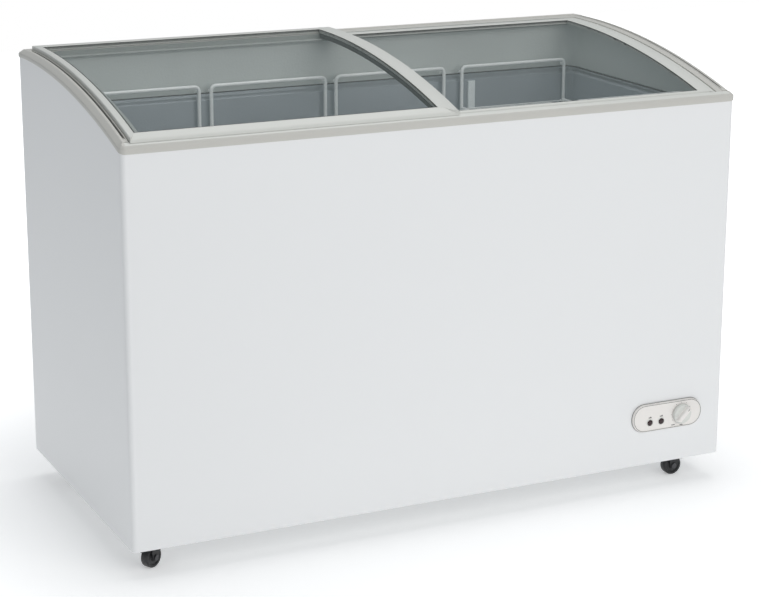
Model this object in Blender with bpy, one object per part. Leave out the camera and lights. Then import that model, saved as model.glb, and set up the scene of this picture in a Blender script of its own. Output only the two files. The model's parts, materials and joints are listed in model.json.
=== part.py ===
"""Chest freezer with two sliding curved glass lids, built piece by piece.

Metres, +Z up. X runs along the front with +X to the right, -Y is the front, and the
origin is on the floor under the middle of the whole freezer.
"""
import math

import bmesh
import bpy
from mathutils import Matrix, Vector

# ---------------------------------------------------------------- driving dimensions
BODY_WIDTH = 1.280
BODY_DEPTH = 0.622
FRONT_HEIGHT = 0.742          # front panel, from its lower edge to its upper edge
CASTOR_HEIGHT = 0.055         # floor to the lower edge of the panels
KNOB_REACH = 0.021            # from the front panel to the face of the knob
GAP = 0.0003                  # clearance between touching pieces
SHEET = 0.002                 # outer and inner sheet metal
CORNER_RADIUS = 0.010         # vertical front corners of the cabinet

# The upper edge of the side panels is an arc; everything above it is concentric.
ARC_RADIUS = 1.887
ARC_CENTRE_DEPTH = 0.560      # centre of the arc, behind the front face
ARC_STEP = 0.034              # facet length along the arc

X_RIGHT = BODY_WIDTH / 2
X_LEFT = -X_RIGHT
Y_BACK = (BODY_DEPTH + KNOB_REACH) / 2
Y_FRONT = Y_BACK - BODY_DEPTH
Z_BASE = CASTOR_HEIGHT
Z_FRONT_TOP = Z_BASE + FRONT_HEIGHT
ARC_Y = Y_FRONT + ARC_CENTRE_DEPTH
ARC_Z = Z_FRONT_TOP - math.sqrt(ARC_RADIUS ** 2 - ARC_CENTRE_DEPTH ** 2)

# Trim: heights are measured outwards from the arc of the side panels.
OVERHANG = 0.002
CREST = 0.0150                # top of the arched side rails and of the rear rail
TRACK_HIGH = 0.0136           # surface that the upper lid slides over
TRACK_LOW = 0.0035            # surface that the lower lid slides over
SIDE_CREST_WIDTH = 0.022
SIDE_LEDGE_WIDTH = 0.013
SIDE_FLANGE_WIDTH = 0.024
FRONT_LEDGE = 0.014           # depth of the front rail's upper track
FRONT_FLANGE = 0.045
REAR_CREST_DEPTH = 0.018
REAR_LEDGE = 0.048
REAR_FLANGE = 0.066

# Lids: bottom and top of the frame and of the glass above the arc.
UPPER_LID = (0.0142, 0.0225)
UPPER_GLASS = (0.0172, 0.0212)
LOWER_LID = (0.0045, 0.0125)
LOWER_GLASS = (0.0075, 0.0112)
GLASS_FRONT = 0.029           # front edge of both glasses, behind the front face
UPPER_FRONT = 0.0075
LOWER_FRONT = 0.0155
UPPER_REAR = (0.019, 0.045)   # rear rail of the upper lid, ahead of the back face
LOWER_REAR = (0.0495, 0.080)
LEFT_OUTER_STILE = (-0.6190, -0.605)
LEFT_INNER_STILE = (-0.009, 0.026)
RIGHT_INNER_STILE = (-0.005, 0.022)
RIGHT_OUTER_STILE = (0.571, 0.606)
SEAL_WIDTH = 0.0045
UPPER_SLOPE = 0.016           # depth of the sloping front of each lid
LOWER_SLOPE = 0.006
LID_LIP = 0.0015              # height of the lid's front edge below the slope

# Storage well.
WELL_X = 0.584                # half width of the lower part
WELL_FRONT = Y_FRONT + 0.055
WELL_BACK = Y_BACK - 0.070
WELL_FLOOR = 0.125
WELL_CORNER = 0.022
LEDGE_WIDTH = 0.016
LEDGE_Z = (0.777, 0.790)
STEP_X = 0.285                # left face of the step over the machine compartment
STEP_TOP = 0.392

# Machine compartment at the lower right.
COMPARTMENT_X = 0.329
COMPARTMENT_TOP = 0.347
GRILLE_X = (0.350, 0.615)
GRILLE_Z = (0.085, 0.320)

# Control plate on the front panel.
PLATE_CENTRE = (0.5065, 0.157)
PLATE_SIZE = (0.164, 0.058)
PLATE_THICKNESS = 0.006
PLATE_RADIUS = 0.028
PLATE_EDGE = 0.002            # bevel round the face of the plate
LAMP_OFFSETS = (-0.042, -0.015)
LAMP_DROP = 0.010
LAMP_RADIUS = 0.0062
KNOB_OFFSET = 0.033
KNOB_RADIUS = 0.0215
KNOB_TURN = math.radians(45)

# Baskets.
BASKET_WIDTH = 0.262
BASKET_LEFTS = (-0.551, -0.270, 0.009, 0.307)
BASKET_Y = (-0.238, 0.244)
BASKET_BOTTOM = 0.573
BASKET_SIDE_TOP = 0.718
BASKET_END_TOP = 0.812
BASKET_WALL = 0.004
HOOK_Z = (0.7915, 0.7945)
HOOK_REACH = 0.013

# Castors: name, centre of the swivel and the direction that the wheel rolls in.
WHEEL_SEGMENTS = 20
WHEEL_RADIUS = 0.021
WHEEL_WIDTH = 0.017
TRAIL = 0.012
CASTOR_INSET_X = 0.064
CASTORS = (
    ("front_left", -X_RIGHT + CASTOR_INSET_X, Y_FRONT + 0.062, math.radians(30)),
    ("front_right", X_RIGHT - CASTOR_INSET_X, Y_FRONT + 0.062, 0.0),
    ("rear_left", -X_RIGHT + CASTOR_INSET_X, Y_BACK - 0.070, math.radians(90)),
    ("rear_right", X_RIGHT - CASTOR_INSET_X, Y_BACK - 0.070, math.radians(-60)),
)

# Refrigerant circuit and drain.
CONDENSER_SPACE = 0.0065      # gap between the back panel and the foam
CONDENSER_RADIUS = 0.0025
CONDENSER_X = (-0.570, 0.270)
CONDENSER_Z = (0.150, 0.815)
CONDENSER_RUNS = 8
COIL_SPACE = 0.0130           # gap between the liner and the foam, along the coil
COIL_RADIUS = 0.004
COIL_Z = (0.468, 0.688)
COIL_TURNS = 4
COMPRESSOR_CENTRE = (0.470, 0.110)
COMPRESSOR_RADIUS = 0.074
CRADLE_Z = 0.0650
CRADLE_HALF = (0.105, 0.070)
CRADLE_FEET = (0.088, 0.054)
DRIER_PLACE = (0.375, -0.060, 0.150)
DRIER_LENGTH = 0.100
GLAND_RADIUS = 0.011
GLAND_BORE = 0.004
GLAND_CENTRE = (0.570, 0.125)
DRAIN_CENTRE = (-0.430, -0.060)
DRAIN_RADIUS = 0.011
DRAIN_BORE = 0.008


# ---------------------------------------------------------------- materials
def make_material(name, colour, roughness, metallic=0.0, alpha=1.0):
    material = bpy.data.materials.new(name)
    material.use_nodes = True
    shader = material.node_tree.nodes["Principled BSDF"]
    shader.inputs["Base Color"].default_value = (*colour, 1.0)
    shader.inputs["Roughness"].default_value = roughness
    shader.inputs["Metallic"].default_value = metallic
    shader.inputs["Alpha"].default_value = alpha
    return material


def make_materials():
    return {
        "white_paint": make_material("white_paint", (0.86, 0.87, 0.88), 0.32),
        "trim_plastic": make_material("trim_plastic", (0.62, 0.61, 0.56), 0.45),
        "zinc_steel": make_material("zinc_steel", (0.55, 0.57, 0.58), 0.42, 0.9),
        "liner_aluminium": make_material("liner_aluminium", (0.48, 0.52, 0.54), 0.40, 0.6),
        "foam": make_material("foam", (0.86, 0.78, 0.52), 0.9),
        "glass": make_material("glass", (0.45, 0.52, 0.50), 0.05, 0.0, 0.35),
        "basket_wire": make_material("basket_wire", (0.80, 0.82, 0.82), 0.35),
        "panel_plastic": make_material("panel_plastic", (0.82, 0.81, 0.75), 0.40),
        "knob_plastic": make_material("knob_plastic", (0.90, 0.90, 0.88), 0.35),
        "lamp_plastic": make_material("lamp_plastic", (0.22, 0.02, 0.03), 0.20),
        "black_plastic": make_material("black_plastic", (0.03, 0.03, 0.03), 0.45),
        "black_rubber": make_material("black_rubber", (0.02, 0.02, 0.02), 0.75),
        "black_enamel": make_material("black_enamel", (0.03, 0.03, 0.035), 0.30, 0.2),
        "copper": make_material("copper", (0.75, 0.38, 0.24), 0.30, 1.0),
        "axle_steel": make_material("axle_steel", (0.60, 0.60, 0.62), 0.30, 1.0),
    }


# ---------------------------------------------------------------- geometry helpers
def arc_z(y, height):
    """Height of the arc concentric with the side panels' upper edge, at depth y."""
    return ARC_Z + math.sqrt((ARC_RADIUS + height) ** 2 - (y - ARC_Y) ** 2)


def arc_line(y_start, y_end, height):
    count = max(1, math.ceil(abs(y_end - y_start) / ARC_STEP))
    depths = [y_start + (y_end - y_start) * i / count for i in range(count + 1)]
    return [(y, arc_z(y, height)) for y in depths]


def rounded(points, radii, steps=3):
    """Replace each corner of a closed outline by an arc of its radius."""
    outline = []
    for i, point in enumerate(points):
        corner = Vector(point)
        radius = radii[i] if isinstance(radii, (list, tuple)) else radii
        if radius == 0:
            outline.append(tuple(corner))
            continue
        before = (Vector(points[i - 1]) - corner).normalized()
        after = (Vector(points[(i + 1) % len(points)]) - corner).normalized()
        half = before.angle(after) / 2
        reach = radius / math.tan(half)
        centre = corner + (before + after).normalized() * radius / math.sin(half)
        start = corner + before * reach - centre
        sweep = math.pi - 2 * half
        if before.x * after.y - before.y * after.x > 0:
            sweep = -sweep
        for k in range(steps + 1):
            turn = Matrix.Rotation(sweep * k / steps, 2)
            outline.append(tuple(centre + turn @ start))
    return outline


def rectangle(a0, a1, b0, b1, radius=0.0, steps=3):
    corners = [(a0, b0), (a1, b0), (a1, b1), (a0, b1)]
    return rounded(corners, radius, steps) if radius else corners


def new_object(name, bm, material, smooth=False):
    bmesh.ops.recalc_face_normals(bm, faces=bm.faces)
    mesh = bpy.data.meshes.new(name)
    bm.to_mesh(mesh)
    bm.free()
    if smooth:
        mesh.shade_smooth()
        mesh.set_sharp_from_angle(angle=math.radians(35))
    if material:
        mesh.materials.append(material)
    obj = bpy.data.objects.new(name, mesh)
    bpy.context.scene.collection.objects.link(obj)
    return obj


def loft(name, loops, material=None, smooth=False, closed=False):
    """Skin equal-length loops of points; the ends are capped unless it is closed."""
    bm = bmesh.new()
    rings = [[bm.verts.new(point) for point in loop] for loop in loops]
    pairs = list(zip(rings, rings[1:]))
    if closed:
        pairs.append((rings[-1], rings[0]))
    for lower, upper in pairs:
        for i, vert in enumerate(lower):
            j = (i + 1) % len(lower)
            bm.faces.new((vert, lower[j], upper[j], upper[i]))
    if not closed:
        bm.faces.new(rings[0][::-1])
        bm.faces.new(rings[-1])
    return new_object(name, bm, material, smooth)


def prism_x(name, outline, x0, x1, material=None, smooth=False):
    return loft(name, [[(x, y, z) for y, z in outline] for x in (x0, x1)], material, smooth)


def prism_y(name, outline, y0, y1, material=None, smooth=False):
    return loft(name, [[(x, y, z) for x, z in outline] for y in (y0, y1)], material, smooth)


def prism_z(name, outline, z0, z1, material=None, smooth=False):
    return loft(name, [[(x, y, z) for x, y in outline] for z in (z0, z1)], material, smooth)


def box(name, low, high, material=None):
    return prism_z(name, rectangle(low[0], high[0], low[1], high[1]), low[2], high[2], material)


def sweep_arc(name, section, y0, y1, material, smooth=True):
    """Sweep an (x, height) section along the arc from depth y0 to depth y1."""
    depths = [y for y, z in arc_line(y0, y1, 0.0)]
    loops = [[(x, y, arc_z(y, height)) for x, height in section] for y in depths]
    return loft(name, loops, material, smooth)


def turned(name, profile, material=None, axis="Z", segments=24, phase=0.0, ring=False):
    """Turn an (radius, along) profile about an axis; a ring profile has a bore."""
    basis = {
        "Z": lambda r, a, t: (r * math.cos(t), r * math.sin(t), a),
        "Y": lambda r, a, t: (r * math.sin(t), a, r * math.cos(t)),
        "X": lambda r, a, t: (a, r * math.cos(t), r * math.sin(t)),
    }[axis]
    angles = [phase + 2 * math.pi * i / segments for i in range(segments)]
    loops = [[basis(radius, along, angle) for angle in angles] for radius, along in profile]
    return loft(name, loops, material, smooth=True, closed=ring)


def move(obj, x, y, z):
    obj.location = (x, y, z)
    return obj


def set_origin(obj, origin):
    """Put the origin of an object that was drawn in place at a point of its joint."""
    obj.data.transform(Matrix.Translation(-Vector(origin)))
    obj.location = origin
    return obj


def combine(obj, other, operation="DIFFERENCE"):
    modifier = obj.modifiers.new(other.name, "BOOLEAN")
    modifier.operation = operation
    modifier.object = other
    other.hide_render = True
    other.display_type = "WIRE"
    return obj


def tube(name, points, radius, material, resolution=0):
    """A round tube along a poly line, closed by caps."""
    curve = bpy.data.curves.new(name, "CURVE")
    curve.dimensions = "3D"
    curve.bevel_depth = radius
    curve.bevel_resolution = resolution
    curve.use_fill_caps = True
    spline = curve.splines.new("POLY")
    spline.points.add(len(points) - 1)
    for target, point in zip(spline.points, points):
        target.co = (*point, 1.0)
    curve.materials.append(material)
    obj = bpy.data.objects.new(name, curve)
    bpy.context.scene.collection.objects.link(obj)
    return obj


def smooth_path(knots, count):
    """Points of a Catmull-Rom curve through a few knots."""
    knots = [Vector(knot) for knot in knots]
    padded = [2 * knots[0] - knots[1], *knots, 2 * knots[-1] - knots[-2]]
    spans = len(knots) - 1
    points = []
    for i in range(count + 1):
        place = min(i * spans / count, spans - 1e-9)
        span = int(place)
        t = place - span
        a, b, c, d = padded[span:span + 4]
        points.append(0.5 * (2 * b + (c - a) * t + (2 * a - 5 * b + 4 * c - d) * t ** 2
                             + (3 * b - a - 3 * c + d) * t ** 3))
    return points


# ---------------------------------------------------------------- cabinet
def under_arc_cutter(name, drop):
    """Everything below the arc, lowered by drop: trims a piece to the side profile."""
    outline = arc_line(-0.40, 0.40, -drop) + [(0.40, -0.05), (-0.40, -0.05)]
    return prism_x(name, outline, -0.8, 0.8)


def make_cabinet_wrap(materials):
    """Front and side panels: one sheet bent round two vertical corners."""
    outer = rounded(
        [(X_LEFT, Y_BACK), (X_LEFT, Y_FRONT), (X_RIGHT, Y_FRONT), (X_RIGHT, Y_BACK)],
        [0, CORNER_RADIUS, CORNER_RADIUS, 0], 5)
    inner = rounded(
        [(X_LEFT + SHEET, Y_BACK), (X_LEFT + SHEET, Y_FRONT + SHEET),
         (X_RIGHT - SHEET, Y_FRONT + SHEET), (X_RIGHT - SHEET, Y_BACK)],
        [0, CORNER_RADIUS - SHEET, CORNER_RADIUS - SHEET, 0], 5)
    wrap = prism_z("cabinet_wrap", outer + inner[::-1], Z_BASE, 0.95,
                   materials["white_paint"], smooth=True)
    combine(wrap, under_arc_cutter("wrap_top_cutter", 0.0), "INTERSECT")
    x, z = PLATE_CENTRE
    window = box("plate_window_cutter", (x - 0.060, Y_FRONT - 0.05, z - 0.018),
                 (x + 0.060, Y_FRONT + 0.05, z + 0.018))
    return combine(wrap, window)


def make_back_panel(materials):
    panel = box("back_panel", (X_LEFT + SHEET + GAP, Y_BACK - SHEET, Z_BASE + SHEET + 2 * GAP),
                (X_RIGHT - SHEET - GAP, Y_BACK, arc_z(Y_BACK, 0.0) - GAP),
                materials["zinc_steel"])
    window = box("grille_window_cutter", (GRILLE_X[0], Y_BACK - 0.05, GRILLE_Z[0]),
                 (GRILLE_X[1], Y_BACK + 0.05, GRILLE_Z[1]))
    return combine(panel, window)


def make_base_plate(materials):
    inset = SHEET + GAP
    outline = rounded(
        [(X_LEFT + inset, Y_FRONT + inset), (X_RIGHT - inset, Y_FRONT + inset),
         (X_RIGHT - inset, Y_BACK), (X_LEFT + inset, Y_BACK)],
        [CORNER_RADIUS - SHEET, CORNER_RADIUS - SHEET, 0, 0])
    plate = prism_z("base_plate", outline, Z_BASE, Z_BASE + SHEET, materials["zinc_steel"])
    return combine(plate, drain_cutter("base_drain_cutter"))


def drain_cutter(name):
    cutter = turned(name, [(DRAIN_RADIUS + GAP, 0.0), (DRAIN_RADIUS + GAP, 0.20)])
    return move(cutter, *DRAIN_CENTRE, 0.0)


def well_loop(grow, z, widen=0.0):
    reach = grow + widen
    outline = rectangle(-WELL_X - reach, WELL_X + reach, WELL_FRONT - reach, WELL_BACK + reach,
                        WELL_CORNER + reach, 4)
    return [(x, y, z) for x, y in outline]


def well_block(name, grow, material=None):
    """The hollow of the storage well, grown outwards by a wall thickness."""
    loops = [well_loop(grow, WELL_FLOOR - grow), well_loop(grow, LEDGE_Z[0]),
             well_loop(grow, LEDGE_Z[1], LEDGE_WIDTH), well_loop(grow, 1.0, LEDGE_WIDTH)]
    block = loft(name, loops, material, smooth=True)
    step = box(name + "_step", (STEP_X + grow, -0.5, 0.0), (0.9, 0.5, STEP_TOP - grow))
    return combine(block, step)


def make_inner_liner(materials):
    liner = well_block("inner_liner", SHEET, materials["liner_aluminium"])
    combine(liner, under_arc_cutter("liner_top_cutter", GAP), "INTERSECT")
    combine(liner, well_block("liner_hollow_cutter", 0.0))
    return combine(liner, drain_cutter("liner_drain_cutter"))


def make_foam(materials):
    """Foamed insulation between the outer sheets and the liner."""
    inset = SHEET + GAP
    outline = rounded(
        [(X_LEFT + inset, Y_FRONT + inset), (X_RIGHT - inset, Y_FRONT + inset),
         (X_RIGHT - inset, Y_BACK - SHEET - CONDENSER_SPACE),
         (X_LEFT + inset, Y_BACK - SHEET - CONDENSER_SPACE)],
        [CORNER_RADIUS - SHEET, CORNER_RADIUS - SHEET, 0, 0])
    foam = prism_z("foam_insulation", outline, Z_BASE + SHEET + GAP, 0.95, materials["foam"])
    combine(foam, under_arc_cutter("foam_top_cutter", GAP), "INTERSECT")
    combine(foam, well_block("foam_hollow_cutter", SHEET + GAP))
    coil_pocket = rectangle(-WELL_X - COIL_SPACE, WELL_X + COIL_SPACE, WELL_FRONT - COIL_SPACE,
                            WELL_BACK + COIL_SPACE, WELL_CORNER + COIL_SPACE, 4)
    combine(foam, prism_z("foam_coil_cutter", coil_pocket, COIL_Z[0] - 0.02, COIL_Z[1] + 0.02))
    combine(foam, box("foam_machine_cutter", (COMPARTMENT_X - GAP, -0.5, 0.0),
                      (0.9, 0.5, COMPARTMENT_TOP + GAP)))
    return combine(foam, drain_cutter("foam_drain_cutter"))


def make_compartment_shield(materials):
    """Sheet that closes the foam off from the machine compartment."""
    thickness = 0.0015
    x0 = COMPARTMENT_X
    x1 = X_RIGHT - SHEET - GAP
    z1 = COMPARTMENT_TOP
    z0 = Z_BASE + SHEET + GAP
    outline = [(x0, z0), (x0 + thickness, z0), (x0 + thickness, z1 - thickness),
               (x1, z1 - thickness), (x1, z1), (x0, z1)]
    return prism_y("compartment_shield", outline, Y_FRONT + CORNER_RADIUS,
                   Y_BACK - SHEET - CONDENSER_SPACE, materials["zinc_steel"])


def make_rear_grille(materials):
    margin = 0.001
    x0, x1 = GRILLE_X[0] + margin, GRILLE_X[1] - margin
    z0, z1 = GRILLE_Z[0] + margin, GRILLE_Z[1] - margin
    grille = box("rear_grille", (x0, Y_BACK - 0.0025, z0), (x1, Y_BACK - 0.0005, z1),
                 materials["black_plastic"])
    for row in range(9):
        z = z0 + 0.030 + row * 0.022
        slot = box(f"slot_cutter_{row}", (x0 + 0.018, Y_BACK - 0.05, z),
                   (x1 - (0.018 if row > 2 else 0.090), Y_BACK + 0.05, z + 0.011))
        combine(grille, slot)
    hole = turned("gland_hole_cutter", [(GLAND_RADIUS + GAP, -0.05), (GLAND_RADIUS + GAP, 0.05)],
                  axis="Y")
    return combine(grille, move(hole, GLAND_CENTRE[0], Y_BACK, GLAND_CENTRE[1]))


def make_cord_gland(materials):
    """Round gland that the mains lead goes through, flush with the grille."""
    profile = [(GLAND_RADIUS, -0.0008), (GLAND_BORE, -0.0008), (GLAND_BORE, -0.022), (0.015, -0.022),
               (0.015, -0.0028), (GLAND_RADIUS, -0.0028)]
    gland = turned("cord_gland", profile, materials["black_rubber"], axis="Y", ring=True)
    return move(gland, GLAND_CENTRE[0], Y_BACK, GLAND_CENTRE[1])


# ---------------------------------------------------------------- trim round the opening
def make_arch_rail(name, side, materials):
    """Arched rail on a side panel, with a ledge for each lid."""
    outer = X_RIGHT + OVERHANG
    crest_in = outer - SIDE_CREST_WIDTH
    ledge_in = crest_in - SIDE_LEDGE_WIDTH
    flange_in = ledge_in - SIDE_FLANGE_WIDTH
    section = rounded(
        [(outer, GAP), (outer, CREST), (crest_in, CREST), (crest_in, TRACK_HIGH),
         (ledge_in, TRACK_HIGH), (ledge_in, TRACK_LOW), (flange_in, TRACK_LOW), (flange_in, GAP)],
        [0, 0.008, 0.0006, 0, 0.0008, 0, 0, 0], 4)
    section = [(side * x, height) for x, height in section]
    return sweep_arc(name, section, Y_FRONT + FRONT_LEDGE + GAP, Y_BACK - REAR_CREST_DEPTH - GAP,
                     materials["trim_plastic"])


def trim_low_track(rail, y0, y1):
    """Stop the low track of a front or rear rail where the arched rails begin."""
    inner = X_RIGHT + OVERHANG - SIDE_CREST_WIDTH - SIDE_LEDGE_WIDTH - SIDE_FLANGE_WIDTH - GAP
    for side in (-1, 1):
        ends = sorted((side * inner, side * 0.8))
        combine(rail, box(f"{rail.name}_cutter", (ends[0], y0, 0.70), (ends[1], y1, 0.95)))
    return rail


def make_front_rail(materials):
    """Front rail: a rounded nose, the upper track and the lower track behind it."""
    nose = Y_FRONT - OVERHANG
    ledge = Y_FRONT + FRONT_LEDGE
    flange = Y_FRONT + FRONT_FLANGE
    outline = rounded(
        [(nose, Z_FRONT_TOP + GAP), (Y_FRONT, Z_FRONT_TOP + GAP), (flange, arc_z(flange, GAP)),
         (flange, arc_z(flange, TRACK_LOW)), (ledge, arc_z(ledge, TRACK_LOW)),
         (ledge, arc_z(ledge, TRACK_HIGH)), (nose, arc_z(nose, TRACK_HIGH))],
        [0.001, 0, 0, 0, 0, 0.0008, 0.003])
    rail = prism_x("front_rail", outline, X_LEFT - OVERHANG, X_RIGHT + OVERHANG,
                   materials["trim_plastic"], smooth=True)
    reach = X_RIGHT + OVERHANG
    radius = CORNER_RADIUS + OVERHANG
    plan = rounded([(-reach, nose), (reach, nose), (reach, 0.0), (-reach, 0.0)],
                   [radius, radius, 0, 0], 5)
    combine(rail, prism_z("front_rail_corner_cutter", plan, 0.70, 0.95), "INTERSECT")
    return trim_low_track(rail, ledge, 0.0)


def make_rear_rail(materials):
    crest = Y_BACK - REAR_CREST_DEPTH
    ledge = Y_BACK - REAR_LEDGE
    flange = Y_BACK - REAR_FLANGE
    outline = rounded(
        [(Y_BACK, arc_z(Y_BACK, GAP)), (Y_BACK, arc_z(Y_BACK, CREST)),
         (crest, arc_z(crest, CREST)), (crest, arc_z(crest, TRACK_HIGH)),
         (ledge, arc_z(ledge, TRACK_HIGH)), (ledge, arc_z(ledge, TRACK_LOW)),
         (flange, arc_z(flange, TRACK_LOW)), (flange, arc_z(flange, GAP))],
        [0, 0.005, 0.0006, 0, 0.0008, 0, 0, 0])
    rail = prism_x("rear_rail", outline, X_LEFT - OVERHANG, X_RIGHT + OVERHANG,
                   materials["trim_plastic"], smooth=True)
    return trim_low_track(rail, 0.0, crest)


# ---------------------------------------------------------------- lids
def lid_section(x0, x1, heights, radius=0.002):
    corners = [(x0, heights[0]), (x1, heights[0]), (x1, heights[1]), (x0, heights[1])]
    return rounded(corners, [0, 0, radius, radius])


def lid_rail(name, y0, y1, heights, x0, x1, material, slope=0.0):
    """Straight rail of a lid across the front or the rear; its front may slope down."""
    outline = arc_line(y0, y1, heights[0]) + arc_line(y1, y0 + slope, heights[1])
    if slope:
        outline.append((y0, arc_z(y0, heights[0] + LID_LIP)))
    return prism_x(name, outline, x0, x1, material)


def make_lid(prefix, front, rear, heights, glass_heights, stiles, slope, materials):
    trim = materials["trim_plastic"]
    (left0, left1), (right0, right1) = stiles
    front0, front1 = Y_FRONT + front, Y_FRONT + GLASS_FRONT
    rear0, rear1 = Y_BACK - rear[1], Y_BACK - rear[0]
    pieces = [
        lid_rail(prefix + "_front_rail", front0, front1, heights, left0, right1, trim, slope),
        lid_rail(prefix + "_rear_rail", rear0, rear1, heights, left0, right1, trim),
        sweep_arc(prefix + "_left_stile", lid_section(left0, left1, heights),
                  front1 + GAP, rear0 - GAP, trim),
        sweep_arc(prefix + "_right_stile", lid_section(right0, right1, heights),
                  front1 + GAP, rear0 - GAP, trim),
        sweep_arc(prefix + "_glass",
                  rectangle(left1 + GAP, right0 - GAP, *glass_heights),
                  front1 + GAP, rear0 - GAP, materials["glass"]),
    ]
    middle = ((left0 + right1) / 2, (front0 + rear1) / 2, arc_z(0.0, heights[0]))
    for piece in pieces:
        set_origin(piece, middle)
    return middle


def make_lids(materials):
    make_lid("left_lid", UPPER_FRONT, UPPER_REAR, UPPER_LID, UPPER_GLASS,
             (LEFT_OUTER_STILE, LEFT_INNER_STILE), UPPER_SLOPE, materials)
    middle = make_lid("right_lid", LOWER_FRONT, LOWER_REAR, LOWER_LID, LOWER_GLASS,
                      (RIGHT_INNER_STILE, RIGHT_OUTER_STILE), LOWER_SLOPE, materials)
    seal_right = RIGHT_INNER_STILE[0] - GAP
    seal = sweep_arc("right_lid_seal",
                     rectangle(seal_right - SEAL_WIDTH, seal_right, 0.0050, 0.0138),
                     Y_FRONT + LOWER_FRONT, Y_BACK - LOWER_REAR[0], materials["black_rubber"])
    set_origin(seal, middle)


# ---------------------------------------------------------------- inside the well
def make_basket(index, left, materials):
    """Hanging basket: a low box between two taller ends that hook over the ledge."""
    right = left + BASKET_WIDTH
    front, back = BASKET_Y
    wall = BASKET_WALL
    middle = (left + BASKET_WIDTH / 2, 0.0, BASKET_BOTTOM)
    name = f"basket_{index}"
    end = rounded([(left, BASKET_BOTTOM), (right, BASKET_BOTTOM), (right, BASKET_END_TOP),
                   (left, BASKET_END_TOP)], [0.012, 0.012, 0.020, 0.020])
    basket = prism_y(name, end, front, back, materials["basket_wire"])
    combine(basket, box(name + "_side_cutter", (left - 0.05, front + wall, BASKET_SIDE_TOP),
                        (right + 0.05, back - wall, 0.9)))
    combine(basket, box(name + "_hollow_cutter", (left + wall, front + wall, BASKET_BOTTOM + wall),
                        (right - wall, back - wall, 0.9)))
    for label, y0, y1 in (("front", front - HOOK_REACH, front + wall / 2),
                          ("rear", back - wall / 2, back + HOOK_REACH)):
        hook = box(f"{name}_{label}_hook", (left + 0.030, y0, HOOK_Z[0]),
                   (right - 0.030, y1, HOOK_Z[1]))
        combine(basket, hook, "UNION")
    for cutter in [modifier.object for modifier in basket.modifiers]:
        set_origin(cutter, middle)
    return set_origin(basket, middle)


def make_probe_channel(materials):
    """Cover strip over the thermostat probe, on the rear wall below the ledge."""
    outline = rounded([(0.330, WELL_BACK - GAP), (0.330, WELL_BACK - 0.006),
                       (0.347, WELL_BACK - 0.006), (0.347, WELL_BACK - GAP)],
                      [0, 0.002, 0.002, 0])
    return prism_z("probe_channel", outline, STEP_TOP + 0.010, LEDGE_Z[0] - 0.002,
                   materials["basket_wire"], smooth=True)


def make_drain(materials):
    x, y = DRAIN_CENTRE
    top = WELL_FLOOR + GAP
    foot = Z_BASE - 0.009
    sleeve = turned("drain_sleeve",
                    [(DRAIN_BORE, foot), (DRAIN_RADIUS, foot), (DRAIN_RADIUS, top),
                     (0.018, top), (0.018, top + 0.002), (DRAIN_BORE, top + 0.002)],
                    materials["panel_plastic"], ring=True)
    move(sleeve, x, y, 0.0)
    seat = top + 0.002 + GAP
    plug = turned("drain_plug", [(0.0068, seat - 0.022), (0.0074, seat), (0.014, seat),
                                 (0.014, seat + 0.004), (0.006, seat + 0.006),
                                 (0.005, seat + 0.014), (0.002, seat + 0.016)],
                  materials["black_rubber"])
    move(plug, x, y, 0.0)
    set_origin(plug, (0.0, 0.0, seat))
    plug.location = (x, y, seat)


# ---------------------------------------------------------------- machine compartment
def make_compressor(materials):
    x, y = COMPRESSOR_CENTRE
    bottom = 0.0685
    radius = COMPRESSOR_RADIUS
    profile = [(0.030, 0.0), (0.060, 0.010), (0.071, 0.030), (radius, 0.060),
               (radius, 0.118), (0.068, 0.146), (0.050, 0.167), (0.020, 0.178)]
    shell = turned("compressor", [(r, bottom + z) for r, z in profile],
                   materials["black_enamel"])
    move(shell, x, y, 0.0)

    half_x, half_y = CRADLE_HALF
    cradle = prism_z("compressor_cradle",
                     rectangle(x - half_x, x + half_x, y - half_y, y + half_y, 0.012),
                     CRADLE_Z, CRADLE_Z + 0.003, materials["zinc_steel"])
    floor = Z_BASE + SHEET + GAP
    for side in (-1, 1):
        for end in (-1, 1):
            foot = turned(f"cradle_foot_{side}_{end}", [(0.011, floor), (0.009, CRADLE_Z + 0.001)],
                          segments=12)
            move(foot, x + side * CRADLE_FEET[0], y + end * CRADLE_FEET[1], 0.0)
            combine(cradle, foot, "UNION")

    box("start_relay", (x - 0.030, y - radius - 0.040, 0.130),
        (x + 0.030, y - radius - GAP, 0.190), materials["black_plastic"])


def make_refrigerant_parts(materials):
    copper = materials["copper"]
    profile = [(0.003, 0.0), (0.010, 0.012), (0.010, DRIER_LENGTH - 0.012), (0.003, DRIER_LENGTH)]
    drier = turned("filter_drier", profile, copper, segments=16)
    move(drier, *DRIER_PLACE)
    drier_x, drier_y, drier_z = DRIER_PLACE
    x, y = COMPRESSOR_CENTRE
    tube("discharge_line", smooth_path(
        [(x - 0.052, y - 0.070, 0.215), (x - 0.070, y - 0.095, 0.215),
         (x - 0.092, y - 0.125, 0.235), (x - 0.095, y - 0.165, 0.262),
         (drier_x, drier_y, drier_z + DRIER_LENGTH + 0.002)], 26), 0.003, copper)
    tube("suction_line", smooth_path(
        [(x + 0.078, y - 0.010, 0.200), (x + 0.100, y - 0.020, 0.215),
         (x + 0.105, y - 0.060, 0.270), (x + 0.060, y - 0.150, 0.320),
         (x - 0.020, y - 0.230, 0.335)], 26), 0.004, copper)


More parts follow.
